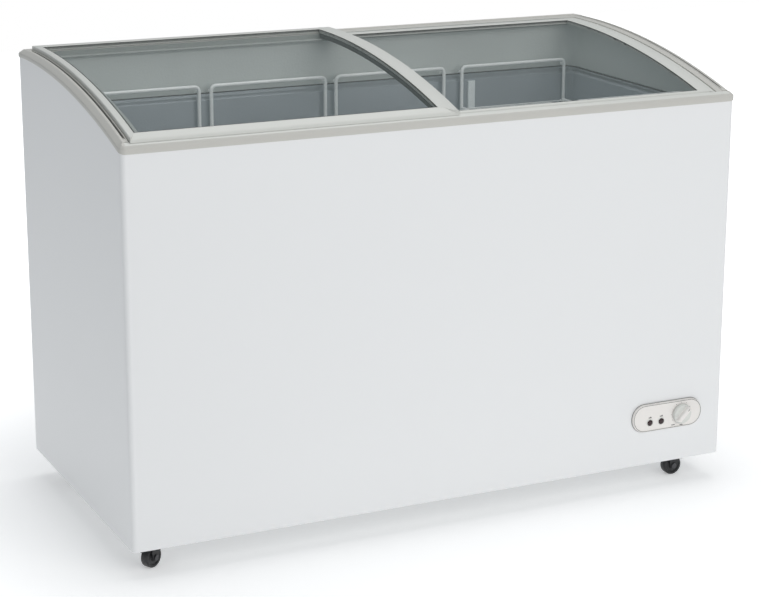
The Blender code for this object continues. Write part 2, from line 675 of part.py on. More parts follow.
def make_evaporator_coil(materials):
    """Tube wound round the well, between the liner and the foam."""
    offset = SHEET + GAP + COIL_RADIUS + 0.0006
    turn = rectangle(-WELL_X - offset, WELL_X + offset, WELL_FRONT - offset, WELL_BACK + offset,
                     WELL_CORNER + offset, 4)
    count = len(turn) * COIL_TURNS
    rise = (COIL_Z[1] - COIL_Z[0]) / count
    points = [(*turn[i % len(turn)], COIL_Z[0] + i * rise) for i in range(count)]
    return tube("evaporator_coil", points, COIL_RADIUS, materials["copper"])


def make_condenser_coil(materials):
    """Serpentine tube that lies flat behind the back panel."""
    y = Y_BACK - SHEET - CONDENSER_SPACE / 2
    left, right = CONDENSER_X
    low, high = CONDENSER_Z
    spacing = (high - low) / (CONDENSER_RUNS - 1)
    bend = spacing / 2
    points = []
    for run in range(CONDENSER_RUNS):
        z = low + run * spacing
        start, end = (left, right) if run % 2 == 0 else (right, left)
        points += [(start, y, z), (end, y, z)]
        if run == CONDENSER_RUNS - 1:
            break
        outward = 1 if end == right else -1
        for k in range(1, 6):
            angle = math.pi * k / 6
            points.append((end + outward * bend * math.sin(angle), y,
                           z + bend - bend * math.cos(angle)))
    return tube("condenser_coil", points, CONDENSER_RADIUS, materials["copper"])


# ---------------------------------------------------------------- controls
def make_controls(materials):
    x, z = PLATE_CENTRE
    width, height = PLATE_SIZE
    front = Y_FRONT - PLATE_THICKNESS - GAP
    outline = rectangle(x - width / 2, x + width / 2, z - height / 2, z + height / 2,
                        PLATE_RADIUS, 6)
    inner = rectangle(x - width / 2 + PLATE_EDGE, x + width / 2 - PLATE_EDGE,
                      z - height / 2 + PLATE_EDGE, z + height / 2 - PLATE_EDGE,
                      PLATE_RADIUS - PLATE_EDGE, 6)
    plate = loft("control_plate",
                 [[(px, Y_FRONT - GAP, pz) for px, pz in outline],
                  [(px, front + PLATE_EDGE, pz) for px, pz in outline],
                  [(px, front, pz) for px, pz in inner]],
                 materials["panel_plastic"], smooth=True)
    for label, offset in zip(("power", "run"), LAMP_OFFSETS):
        hole = turned(f"{label}_lamp_cutter", [(LAMP_RADIUS + GAP, -0.03), (LAMP_RADIUS + GAP, 0.03)],
                      axis="Y", segments=16)
        combine(plate, move(hole, x + offset, Y_FRONT, z - LAMP_DROP))
        profile = [(LAMP_RADIUS, 0.012), (LAMP_RADIUS, -PLATE_THICKNESS),
                   (LAMP_RADIUS * 0.8, -PLATE_THICKNESS - 0.0018),
                   (LAMP_RADIUS * 0.4, -PLATE_THICKNESS - 0.0028)]
        lamp = turned(f"{label}_lamp", profile, materials["lamp_plastic"], axis="Y", segments=16)
        move(lamp, x + offset, Y_FRONT, z - LAMP_DROP)
    knob_x = x + KNOB_OFFSET
    shaft = 0.003
    hole = turned("knob_shaft_cutter", [(shaft + GAP, -0.03), (shaft + GAP, 0.03)], axis="Y",
                  segments=16)
    combine(plate, move(hole, knob_x, Y_FRONT, z))

    # The knob's skirt stands clear of the plate; its grip bar is turned to the set mark.
    skirt = -PLATE_THICKNESS - 0.0010
    knob = turned("thermostat_knob",
                  [(shaft, 0.0035), (shaft, skirt), (KNOB_RADIUS, skirt),
                   (KNOB_RADIUS - 0.001, skirt - 0.0050), (KNOB_RADIUS - 0.003, skirt - 0.0062)],
                  materials["knob_plastic"], axis="Y", segments=32)
    move(knob, knob_x, Y_FRONT, z)
    bar = prism_y("knob_grip_bar", rectangle(-0.0045, 0.0045, -0.0165, 0.0165, 0.003),
                  -KNOB_REACH, skirt - 0.003)
    move(bar, knob_x, Y_FRONT, z)
    bar.rotation_euler.y = KNOB_TURN
    combine(knob, bar, "UNION")
    box("thermostat_body", (knob_x - 0.022, Y_FRONT + 0.0045, z - 0.017),
        (knob_x + 0.022, Y_FRONT + 0.038, z + 0.017), materials["black_plastic"])


# ---------------------------------------------------------------- castors
def empty(name, x, y, z, turn=0.0, parent=None):
    obj = bpy.data.objects.new(name, None)
    obj.location = (x, y, z)
    obj.rotation_euler.z = turn
    obj.parent = parent
    bpy.context.scene.collection.objects.link(obj)
    return obj


def make_castor(name, x, y, turn, materials):
    """A plate under the base, a swivelling fork, an axle and a wheel."""
    prefix = f"castor_{name}"
    axle_z = WHEEL_RADIUS * math.cos(math.pi / WHEEL_SEGMENTS)
    plate_z = CASTOR_HEIGHT - GAP
    plate = prism_z(prefix + "_plate", rectangle(-0.026, 0.026, -0.026, 0.026, 0.005),
                    plate_z - 0.0025, plate_z, materials["zinc_steel"])
    move(plate, x, y, 0.0)

    swivel = empty(prefix + "_swivel", x, y, 0.0, turn)
    crown_top = plate_z - 0.0025 - GAP
    cheek_in = WHEEL_WIDTH / 2 + 0.001
    cheek_out = cheek_in + 0.003
    crown = rounded(
        [(-cheek_out, 0.010), (-cheek_in, 0.010), (-cheek_in, 0.0445), (cheek_in, 0.0445),
         (cheek_in, 0.010), (cheek_out, 0.010), (cheek_out, 0.0490), (-cheek_out, 0.0490)],
        [0, 0, 0, 0, 0, 0, 0.004, 0.004])
    fork = prism_x(prefix + "_fork", crown, -TRAIL - 0.012, 0.014, materials["black_plastic"])
    fork.parent = swivel
    side = rounded([(-TRAIL - 0.007, axle_z - 0.008), (-TRAIL + 0.007, axle_z - 0.008),
                    (0.013, 0.043), (0.013, 0.055), (-TRAIL - 0.010, 0.055), (-TRAIL - 0.010, 0.043)],
                   [0.006, 0.006, 0, 0, 0, 0])
    taper = prism_y(prefix + "_taper_cutter", side, -0.03, 0.03)
    taper.parent = swivel
    combine(fork, taper, "INTERSECT")
    head = turned(prefix + "_head", [(0.0185, 0.0460), (0.0185, crown_top - 0.001),
                                     (0.0170, crown_top)])
    head.parent = swivel
    combine(fork, head, "UNION")
    bore = turned(prefix + "_bore_cutter", [(0.003 + GAP, -0.05), (0.003 + GAP, 0.05)],
                  axis="Y", segments=12)
    bore.parent = swivel
    combine(fork, move(bore, -TRAIL, 0.0, axle_z))

    shaft, head_radius = 0.003, 0.0055
    end = cheek_out + GAP
    axle = turned(prefix + "_axle", [(head_radius, -end - 0.002), (head_radius, -end),
                                     (shaft, -end), (shaft, end), (head_radius, end),
                                     (head_radius, end + 0.002)],
                  materials["axle_steel"], axis="Y", segments=12)
    axle.parent = swivel
    move(axle, -TRAIL, 0.0, axle_z)

    half = WHEEL_WIDTH / 2
    bore_radius = shaft + GAP
    wheel = turned(prefix + "_wheel",
                   [(bore_radius, -half), (WHEEL_RADIUS - 0.003, -half),
                    (WHEEL_RADIUS, -half + 0.003), (WHEEL_RADIUS, half - 0.003),
                    (WHEEL_RADIUS - 0.003, half), (bore_radius, half)],
                   materials["black_plastic"], axis="Y", segments=WHEEL_SEGMENTS,
                   phase=math.pi / WHEEL_SEGMENTS, ring=True)
    wheel.parent = swivel
    move(wheel, -TRAIL, 0.0, axle_z)


# ---------------------------------------------------------------- the whole freezer
def main():
    for obj in list(bpy.data.objects):
        bpy.data.objects.remove(obj, do_unlink=True)
    materials = make_materials()

    make_cabinet_wrap(materials)
    make_back_panel(materials)
    make_base_plate(materials)
    make_inner_liner(materials)
    make_foam(materials)
    make_compartment_shield(materials)
    make_rear_grille(materials)
    make_cord_gland(materials)

    make_front_rail(materials)
    make_rear_rail(materials)
    make_arch_rail("left_arch_rail", -1, materials)
    make_arch_rail("right_arch_rail", 1, materials)
    make_lids(materials)

    for index, left in enumerate(BASKET_LEFTS, start=1):
        make_basket(index, left, materials)
    make_probe_channel(materials)
    make_drain(materials)

    make_compressor(materials)
    make_refrigerant_parts(materials)
    make_evaporator_coil(materials)
    make_condenser_coil(materials)
    make_controls(materials)

    for name, x, y, turn in CASTORS:
        make_castor(name, x, y, turn, materials)


main()
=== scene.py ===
"""Looks of the chest freezer: fine meshes, materials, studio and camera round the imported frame."""
import json
import math

import bmesh
import bpy
from mathutils import Matrix, Vector


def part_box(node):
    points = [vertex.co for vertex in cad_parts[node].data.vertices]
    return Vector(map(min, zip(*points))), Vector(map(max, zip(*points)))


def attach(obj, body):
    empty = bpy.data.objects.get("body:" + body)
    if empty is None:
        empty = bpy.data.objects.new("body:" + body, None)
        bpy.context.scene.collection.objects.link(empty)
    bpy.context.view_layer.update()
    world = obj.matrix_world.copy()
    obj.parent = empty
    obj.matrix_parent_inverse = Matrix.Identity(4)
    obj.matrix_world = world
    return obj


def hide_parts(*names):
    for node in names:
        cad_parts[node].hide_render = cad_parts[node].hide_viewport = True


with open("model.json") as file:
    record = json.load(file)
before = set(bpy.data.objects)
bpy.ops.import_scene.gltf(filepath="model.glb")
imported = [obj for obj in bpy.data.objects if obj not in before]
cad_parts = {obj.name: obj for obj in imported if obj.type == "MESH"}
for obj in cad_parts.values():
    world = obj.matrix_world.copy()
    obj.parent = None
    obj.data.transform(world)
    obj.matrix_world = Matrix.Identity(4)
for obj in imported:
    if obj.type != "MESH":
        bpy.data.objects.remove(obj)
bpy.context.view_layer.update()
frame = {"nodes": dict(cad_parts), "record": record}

nodes = frame["nodes"]

# ---------------------------------------------------------------- places read from the frame
WRAP_LOW, WRAP_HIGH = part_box("cabinet_wrap")
X_LEFT, X_RIGHT = WRAP_LOW.x, WRAP_HIGH.x
Y_FRONT, Y_BACK = WRAP_LOW.y, WRAP_HIGH.y
Z_BASE = WRAP_LOW.z
RAIL_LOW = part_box("front_rail")[0]
OVERHANG = X_LEFT - RAIL_LOW.x
TRIM_X = X_RIGHT + OVERHANG
GAP = 0.0003
Z_FRONT_TOP = RAIL_LOW.z - GAP
CORNER_RADIUS = 0.010

# The side panels' upper edge and everything above it are concentric arcs.
ARC_RADIUS = 1.887
ARC_CENTRE_DEPTH = 0.560
ARC_Y = Y_FRONT + ARC_CENTRE_DEPTH
ARC_Z = Z_FRONT_TOP - math.sqrt(ARC_RADIUS ** 2 - ARC_CENTRE_DEPTH ** 2)
ARC_STEP = 0.012

# Trim heights above that arc, and widths across it.
CREST = 0.0150
TRACK_HIGH = 0.0136
TRACK_LOW = 0.0035
TRACK_EDGE = 0.0006              # chamfer of the tracks' inner edges
SIDE_CREST_WIDTH = 0.022
SIDE_LEDGE_WIDTH = 0.013
SIDE_FLANGE_WIDTH = 0.024
FRONT_LEDGE = 0.014
FRONT_FLANGE = 0.045
REAR_CREST_DEPTH = 0.018
REAR_LEDGE = 0.048
REAR_FLANGE = 0.066
LEDGE_END_X = TRIM_X - SIDE_CREST_WIDTH - SIDE_LEDGE_WIDTH
TRACK_END_X = LEDGE_END_X - SIDE_FLANGE_WIDTH - GAP


# ---------------------------------------------------------------- camera
CAMERA_PLACE = Vector((-1.724, -3.623, 1.509))
CAMERA_YAW = math.radians(25.48)      # to the right of straight ahead
CAMERA_PITCH = math.radians(14.55)    # downwards
CAMERA_ROLL = math.radians(0.10)
CAMERA_LENS = 96.5
CAMERA_SHIFT = -0.05


def make_camera():
    ahead = Vector((math.sin(CAMERA_YAW) * math.cos(CAMERA_PITCH),
                    math.cos(CAMERA_YAW) * math.cos(CAMERA_PITCH), -math.sin(CAMERA_PITCH)))
    right = Vector((math.cos(CAMERA_YAW), -math.sin(CAMERA_YAW), 0.0))
    up = right.cross(ahead)
    level = Matrix((right, up, -ahead)).transposed()
    turn = Matrix.Rotation(CAMERA_ROLL, 3, "Z")
    data = bpy.data.cameras.new("camera")
    data.lens = CAMERA_LENS
    data.sensor_width = 36.0
    data.shift_y = CAMERA_SHIFT
    camera = bpy.data.objects.new("camera", data)
    camera.matrix_world = Matrix.Translation(CAMERA_PLACE) @ (level @ turn).to_4x4()
    bpy.context.scene.collection.objects.link(camera)
    bpy.context.scene.camera = camera


# ---------------------------------------------------------------- studio
FLOOR_NEAR = (0.6, 0.33)    # distance from the middle and glow of the floor there
FLOOR_FAR = (1.7, 1.0)
FLOOR_LIGHT = 0.36          # glow that lights the object


def area_light(name, place, target, size, power, colour=(1.0, 1.0, 1.0)):
    data = bpy.data.lights.new(name, "AREA")
    data.shape = "SQUARE"
    data.size = size
    data.energy = power
    data.color = colour
    light = bpy.data.objects.new(name, data)
    light.location = place
    light.rotation_euler = (Vector(target) - Vector(place)).to_track_quat("-Z", "Y").to_euler()
    bpy.context.scene.collection.objects.link(light)


def make_studio():
    """A white floor under a white surround, a large soft key at the front and a top light."""
    world = bpy.data.worlds.new("studio")
    world.use_nodes = True
    tree = world.node_tree
    surround = tree.nodes["Background"]
    surround.inputs["Color"].default_value = (0.90, 0.955, 1.0, 1.0)
    surround.inputs["Strength"].default_value = 0.36
    backdrop = tree.nodes.new("ShaderNodeBackground")
    backdrop.inputs["Color"].default_value = (1.0, 1.0, 1.0, 1.0)
    seen = tree.nodes.new("ShaderNodeLightPath")
    mix = tree.nodes.new("ShaderNodeMixShader")
    tree.links.new(seen.outputs["Is Camera Ray"], mix.inputs["Fac"])
    tree.links.new(surround.outputs["Background"], mix.inputs[1])
    tree.links.new(backdrop.outputs["Background"], mix.inputs[2])
    tree.links.new(mix.outputs["Shader"], tree.nodes["World Output"].inputs["Surface"])
    bpy.context.scene.world = world

    floor_size = 6.0
    bm = bmesh.new()
    bmesh.ops.create_grid(bm, x_segments=1, y_segments=1, size=floor_size)
    mesh = bpy.data.meshes.new("floor")
    bm.to_mesh(mesh)
    bm.free()
    floor = bpy.data.objects.new("floor", mesh)
    floor_material, tree, shader = new_material("floor_white", (0.90, 0.90, 0.90), 0.9)
    shader.inputs["Emission Color"].default_value = (1.0, 1.0, 1.0, 1.0)
    brighten_far_floor(tree, shader)
    mesh.materials.append(floor_material)
    bpy.context.scene.collection.objects.link(floor)

    area_light("key", (0.9, -4.2, 2.6), (0.0, 0.0, 0.5), 3.0, 66, (1.0, 0.985, 0.965))
    area_light("top", (0.2, 0.3, 3.4), (0.0, 0.0, 0.6), 2.6, 42)

    view = bpy.context.scene.view_settings
    view.view_transform = "Standard"
    bpy.context.scene.cycles.use_denoising = True


def brighten_far_floor(tree, shader):
    """Let the floor run into the white backdrop away from the object, without lighting it."""
    place = tree.nodes.new("ShaderNodeTexCoord")
    reach = tree.nodes.new("ShaderNodeVectorMath")
    reach.operation = "LENGTH"
    glow = tree.nodes.new("ShaderNodeMapRange")
    glow.interpolation_type = "SMOOTHSTEP"
    glow.inputs["From Min"].default_value = FLOOR_NEAR[0]
    glow.inputs["From Max"].default_value = FLOOR_FAR[0]
    glow.inputs["To Min"].default_value = FLOOR_NEAR[1]
    glow.inputs["To Max"].default_value = FLOOR_FAR[1]
    tree.links.new(place.outputs["Object"], reach.inputs[0])
    tree.links.new(reach.outputs["Value"], glow.inputs["Value"])
    seen = tree.nodes.new("ShaderNodeLightPath")
    mix = tree.nodes.new("ShaderNodeMix")
    mix.inputs["A"].default_value = FLOOR_LIGHT
    tree.links.new(seen.outputs["Is Camera Ray"], mix.inputs["Factor"])
    tree.links.new(glow.outputs["Result"], mix.inputs["B"])
    tree.links.new(mix.outputs["Result"], shader.inputs["Emission Strength"])


# ---------------------------------------------------------------- materials
def new_material(name, colour, roughness, metallic=0.0):
    material = bpy.data.materials.new(name)
    material.use_nodes = True
    tree = material.node_tree
    shader = tree.nodes["Principled BSDF"]
    shader.inputs["Base Color"].default_value = (*colour, 1.0)
    shader.inputs["Roughness"].default_value = roughness
    shader.inputs["Metallic"].default_value = metallic
    return material, tree, shader


def noise(tree, scale, detail=3.0, stretch=(1.0, 1.0, 1.0)):
    """Noise in the object's own metres, so its grain has a real size."""
    place = tree.nodes.new("ShaderNodeTexCoord")
    mapping = tree.nodes.new("ShaderNodeMapping")
    mapping.inputs["Scale"].default_value = stretch
    texture = tree.nodes.new("ShaderNodeTexNoise")
    texture.inputs["Scale"].default_value = scale
    texture.inputs["Detail"].default_value = detail
    tree.links.new(place.outputs["Object"], mapping.inputs["Vector"])
    tree.links.new(mapping.outputs["Vector"], texture.inputs["Vector"])
    return texture.outputs["Fac"]


def cells(tree, scale):
    place = tree.nodes.new("ShaderNodeTexCoord")
    texture = tree.nodes.new("ShaderNodeTexVoronoi")
    texture.feature = "SMOOTH_F1"
    texture.inputs["Scale"].default_value = scale
    tree.links.new(place.outputs["Object"], texture.inputs["Vector"])
    return texture.outputs["Distance"]


def add_bump(tree, shader, height, strength, distance):
    bump = tree.nodes.new("ShaderNodeBump")
    bump.inputs["Strength"].default_value = strength
    bump.inputs["Distance"].default_value = distance
    tree.links.new(height, bump.inputs["Height"])
    tree.links.new(bump.outputs["Normal"], shader.inputs["Normal"])


def vary(tree, shader, socket, value, low, high):
    """Let a shader input run smoothly between two values as the texture value does."""
    spread = tree.nodes.new("ShaderNodeMapRange")
    spread.interpolation_type = "SMOOTHSTEP"
    spread.inputs["From Min"].default_value = 0.2
    spread.inputs["From Max"].default_value = 0.8
    spread.inputs["To Min"].default_value = low
    spread.inputs["To Max"].default_value = high
    tree.links.new(value, spread.inputs["Value"])
    tree.links.new(spread.outputs["Result"], shader.inputs[socket])


def vary_colour(tree, shader, value, first, second):
    ramp = tree.nodes.new("ShaderNodeValToRGB")
    ramp.color_ramp.interpolation = "EASE"
    ramp.color_ramp.elements[0].position = 0.2
    ramp.color_ramp.elements[1].position = 0.8
    ramp.color_ramp.elements[0].color = (*first, 1.0)
    ramp.color_ramp.elements[1].color = (*second, 1.0)
    tree.links.new(value, ramp.inputs["Fac"])
    tree.links.new(ramp.outputs["Color"], shader.inputs["Base Color"])


def tone(colour, factor):
    return tuple(min(1.0, channel * factor) for channel in colour)


def plain(name, colour, roughness, metallic=0.0, grain=1200.0, depth=0.00004, spread=0.03,
          strength=0.25, patch=6.0, coat=0.0):
    """A finish with a fine grain, slow changes of tone and slightly uneven gloss."""
    material, tree, shader = new_material(name, colour, roughness, metallic)
    slow = noise(tree, patch, 3.0)
    vary_colour(tree, shader, slow, tone(colour, 1.0 - spread), tone(colour, 1.0 + spread))
    fine = noise(tree, grain, 2.0)
    vary(tree, shader, "Roughness", fine, roughness * 0.92, min(1.0, roughness * 1.08))
    add_bump(tree, shader, fine, strength, depth)
    shader.inputs["Coat Weight"].default_value = coat
    shader.inputs["Coat Roughness"].default_value = 0.12
    return material


def glass_material():
    """Grey-green tinted safety glass, drawn as a clear film."""
    colour = (0.34, 0.40, 0.38)
    material, tree, shader = new_material("tinted_glass", colour, 0.03)
    shader.inputs["Alpha"].default_value = 0.10
    shader.inputs["IOR"].default_value = 1.52
    shader.inputs["Specular IOR Level"].default_value = 0.8
    slow = noise(tree, 3.0, 1.0)
    vary_colour(tree, shader, slow, tone(colour, 0.96), tone(colour, 1.04))
    vary(tree, shader, "Roughness", slow, 0.02, 0.05)
    return material


def stucco(name, colour, metallic):
    """Stucco-embossed sheet."""
    material, tree, shader = new_material(name, colour, 0.45, metallic)
    slow = noise(tree, 4.0, 2.0)
    vary_colour(tree, shader, slow, tone(colour, 0.95), tone(colour, 1.05))
    vary(tree, shader, "Roughness", slow, 0.40, 0.52)
    add_bump(tree, shader, cells(tree, 260.0), 0.45, 0.0006)
    return material


def brushed(name, colour, roughness):
    """Rolled zinc-coated sheet: long streaks along X and soft spangle."""
    material, tree, shader = new_material(name, colour, roughness, 0.85)
    streaks = noise(tree, 60.0, 4.0, (0.15, 6.0, 6.0))
    spangle = noise(tree, 90.0, 1.0)
    vary_colour(tree, shader, spangle, tone(colour, 0.88), tone(colour, 1.1))
    vary(tree, shader, "Roughness", streaks, roughness * 0.8, roughness * 1.25)
    add_bump(tree, shader, streaks, 0.15, 0.0001)
    return material


def make_materials():
    return {
        "white_paint": plain("white_paint", (0.83, 0.835, 0.84), 0.36, grain=420.0, spread=0.006,
                             strength=0.06, patch=1.2, coat=0.25),
        # The lid plastic is a lighter copy and the track plastic a darker copy of the trim plastic:
        # painted light on the lid frames and the front track's top, painted shade on the lower tracks
        # under the lids.
        "trim_plastic": plain("trim_plastic", (0.56, 0.55, 0.515), 0.42, spread=0.015),
        "shaded_track_plastic": plain("shaded_track_plastic", (0.34, 0.365, 0.35), 0.5, spread=0.03),
        "lit_lid_plastic": plain("lit_lid_plastic", (0.65, 0.655, 0.62), 0.36, spread=0.015),
        "zinc_steel": brushed("zinc_steel", (0.56, 0.58, 0.59), 0.40),
        "liner_aluminium": stucco("stucco_liner", (0.405, 0.445, 0.48), 0.30),
        "upper_liner": stucco("upper_liner", (0.66, 0.70, 0.68), 0.10),
        "foam": plain("foam", (0.80, 0.70, 0.42), 0.9, grain=500.0, depth=0.0004),
        "lid_glass": glass_material(),
        "lid_seal_rubber": plain("seal_rubber", (0.025, 0.03, 0.028), 0.6),
        "basket_wire": plain("coated_wire", (0.95, 0.975, 0.965), 0.30, spread=0.01, coat=0.3),
        "probe_cover": plain("probe_cover", (0.92, 0.97, 0.97), 0.35, spread=0.02),
        "panel_plastic": plain("panel_plastic", (0.85, 0.82, 0.79), 0.35, spread=0.01),
        # The knob plastic is drawn darker than the plate as painted shade, so the dial's ring stands out.
        "knob_plastic": plain("knob_plastic", (0.71, 0.72, 0.685), 0.30, spread=0.01, coat=0.3),
        "lamp_plastic": plain("lamp_plastic", (0.022, 0.004, 0.006), 0.25, spread=0.10, coat=0.2),
        "black_plastic": plain("black_plastic", (0.025, 0.025, 0.026), 0.45, spread=0.15),
        "black_rubber": plain("black_rubber", (0.018, 0.018, 0.018), 0.7, spread=0.2),
        "black_enamel": plain("black_enamel", (0.02, 0.02, 0.022), 0.28, spread=0.2, coat=0.5),
        "copper": plain("copper", (0.72, 0.36, 0.22), 0.30, 1.0, spread=0.12),
        "castor_plate": brushed("castor_plate", (0.55, 0.56, 0.58), 0.35),
        "castor_plastic": plain("castor_plastic", (0.020, 0.020, 0.022), 0.38, spread=0.2),
        "axle_steel": brushed("axle_steel", (0.60, 0.60, 0.62), 0.30),
        "dark_steel": brushed("dark_steel", (0.10, 0.10, 0.105), 0.35),
        # This grey is drawn only as painted shade round the control plate.
        "grey_outline_shade": plain("grey_outline_shade", (0.26, 0.26, 0.25), 0.6, spread=0.1),
        "mark_print": plain("mark_print", (0.10, 0.10, 0.10), 0.5, spread=0.1),
    }


def finish_cad_nodes(materials):
    """Give every CAD node that stays the fine material of its slot."""
    slots = {row["node"]: row["material_slot"] for row in frame["record"]["subparts"]}
    for name, obj in nodes.items():
        material = materials["dark_steel" if name.endswith("_axle") else slots[name]]
        if not obj.material_slots:
            obj.data.materials.append(material)
        for slot in obj.material_slots:
            slot.material = material


# ---------------------------------------------------------------- shapes
def arc_z(y, height):
    """Height of the arc concentric with the side panels' upper edge, at depth y."""
    return ARC_Z + math.sqrt((ARC_RADIUS + height) ** 2 - (y - ARC_Y) ** 2)


def spaced(start, end, pitch):
    count = max(1, round(abs(end - start) / pitch))
    return [start + (end - start) * i / count for i in range(count + 1)]


def bent(points, radii, steps=5, closed=False):
    """A line through corner points, with each bend drawn as an arc of its radius."""
    line = []
    last = len(points) - 1
    for i, point in enumerate(points):
        corner = Vector(point)
        radius = radii[i] if isinstance(radii, (list, tuple)) else radii
        if radius == 0 or not closed and i in (0, last):
            line.append(corner)
            continue
        before = (Vector(points[i - 1]) - corner).normalized()
        after = (Vector(points[(i + 1) % len(points)]) - corner).normalized()
        half = before.angle(after) / 2
        centre = corner + (before + after).normalized() * radius / math.sin(half)
        start = corner + before * radius / math.tan(half) - centre
        end = corner + after * radius / math.tan(half) - centre
        sweep = start.angle(end)
        for k in range(steps + 1):
            share = k / steps
            mixed = start * math.sin((1 - share) * sweep) + end * math.sin(share * sweep)
            line.append(centre + mixed / math.sin(sweep))
    return line


def rounded(points, radii, steps=5):
    """A closed flat outline with rounded corners."""
    return [tuple(point) for point in bent(points, radii, steps, closed=True)]


def rectangle(a0, a1, b0, b1, radius, steps, inset=0.0):
    """A rectangle with rounded corners, moved inwards all round by inset."""
    a0, b0, a1, b1 = a0 + inset, b0 + inset, a1 - inset, b1 - inset
    return rounded([(a0, b0), (a1, b0), (a1, b1), (a0, b1)], radius - inset, steps)


def circle(segments):
    return [2 * math.pi * k / segments for k in range(segments)]


def new_object(name, bm, material, sharp=35.0):
    bmesh.ops.recalc_face_normals(bm, faces=bm.faces)
    mesh = bpy.data.meshes.new(name)
    bm.to_mesh(mesh)
    bm.free()
    mesh.shade_smooth()
    mesh.set_sharp_from_angle(angle=math.radians(sharp))
    mesh.materials.append(material)
    obj = bpy.data.objects.new(name, mesh)
    bpy.context.scene.collection.objects.link(obj)
    return obj


def skin(bm, loops, closed=False):
    """Skin equal-length loops of points; the ends are capped unless it is closed."""
    rings = [[bm.verts.new(point) for point in loop] for loop in loops]
    pairs = list(zip(rings, rings[1:]))
    if closed:
        pairs.append((rings[-1], rings[0]))
    for lower, upper in pairs:
        for i, vert in enumerate(lower):
            j = (i + 1) % len(lower)
            bm.faces.new((vert, lower[j], upper[j], upper[i]))
    if not closed:
        bm.faces.new(rings[0][::-1])
        bm.faces.new(rings[-1])


def loft(name, loops, material, closed=False, sharp=35.0):
    bm = bmesh.new()
    skin(bm, loops, closed)
    return new_object(name, bm, material, sharp)


def prism_x(name, outline, x0, x1, material):
    return loft(name, [[(x, y, z) for y, z in outline] for x in (x0, x1)], material)


def turned(name, profile, material, centre, segments, ring=False, turn=Matrix.Identity(3)):
    """Turn a (radius, along) profile about an axis through centre: Y, or Y moved by turn."""
    loops = [[Vector(centre) + turn @ Vector((radius * math.sin(angle), along, radius * math.cos(angle)))
              for angle in circle(segments)] for radius, along in profile]
    return loft(name, loops, material, closed=ring)


def place(piece, body, slot, *replaced):
    """Ride on a body and stand for the CAD nodes that it replaces; the slot is not used."""
    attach(piece, body)
    if replaced:
        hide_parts(*replaced)
    return piece


# ---------------------------------------------------------------- cabinet
SHELL_SHEET = 0.0012
SHELL_SIDE_STEPS = 26
SHELL_CORNER_STEPS = 10


def plan_line(inset, y_end, radius, steps):
    """Outline in plan of the front and both sides, moved inwards by inset."""
    radius = max(radius - inset, 0.0002)
    front = Y_FRONT - OVERHANG + inset
    left, right = -TRIM_X + inset, TRIM_X - inset
    side = [front + radius + (y_end - front - radius) * i / steps for i in range(steps, 0, -1)]
    turns = [math.radians(90 * k / SHELL_CORNER_STEPS) for k in range(SHELL_CORNER_STEPS + 1)]
    line = [(left, y) for y in side]
    line += [(left + radius - radius * math.cos(t), front + radius - radius * math.sin(t))
             for t in turns]
    line += [(right - radius + radius * math.sin(t), front + radius - radius * math.cos(t))
             for t in turns]
    line += [(right, y) for y in reversed(side)]
    return line


def make_cabinet_shell(materials):
    """Front and side panels: one painted sheet, bent round two corners, with a hemmed edge."""
    radius = CORNER_RADIUS + OVERHANG
    hem = [(0.0022, 0.0003), (0.0010, 0.0006), (0.0003, 0.0014), (0.0, 0.0030)]
    rows = [(inset, lambda y, z=z: Z_BASE + z) for inset, z in hem]
    rows += [(0.0, lambda y, share=share: Z_BASE + (arc_z(y, 0.0) - Z_BASE) * share)
             for share in (0.3, 0.6, 0.9, 1.0)]
    rows += [(SHELL_SHEET, lambda y: arc_z(y, 0.0)), (SHELL_SHEET, lambda y: Z_BASE + 0.004)]
    lines = [plan_line(OVERHANG + inset, Y_BACK, radius, SHELL_SIDE_STEPS) for inset, level in rows]
    loops = []
    for i in range(len(lines[0])):
        loops.append([(*line[i], level(line[i][1])) for line, (inset, level) in zip(lines, rows)])
    shell = loft("cabinet_shell", loops, materials["white_paint"])
    place(shell, "cabinet", "white_paint", "cabinet_wrap")


PANEL_SCREW_INSET = (0.012, 0.010, 0.012)     # from the sides, bottom and top of the back panel
PANEL_SCREW_PITCH = (0.24, 0.16)
PANEL_SCREW_SPAN = (0.22, 0.70)               # heights of the screws along its sides
GRILLE_SCREW_INSET = (0.008, 0.010)
BEAD_MIDDLES = (-0.44, -0.13, 0.18)           # pressed beads: their middles across the panel
BEAD_HALF_WIDTH = 0.125
BEAD_SPAN = (0.14, 0.76)
BEAD_RADIUS = 0.030
BEAD_WIDTH = 0.006
LOUVRES = 9
LOUVRE_START = 0.030
LOUVRE_PITCH = 0.022
LOUVRE_INSET = 0.016
GLAND_ROWS = 3                                # the lowest louvres stop short of the cord gland
GLAND_INSET = 0.088
SCREW_RADIUS = 0.0036


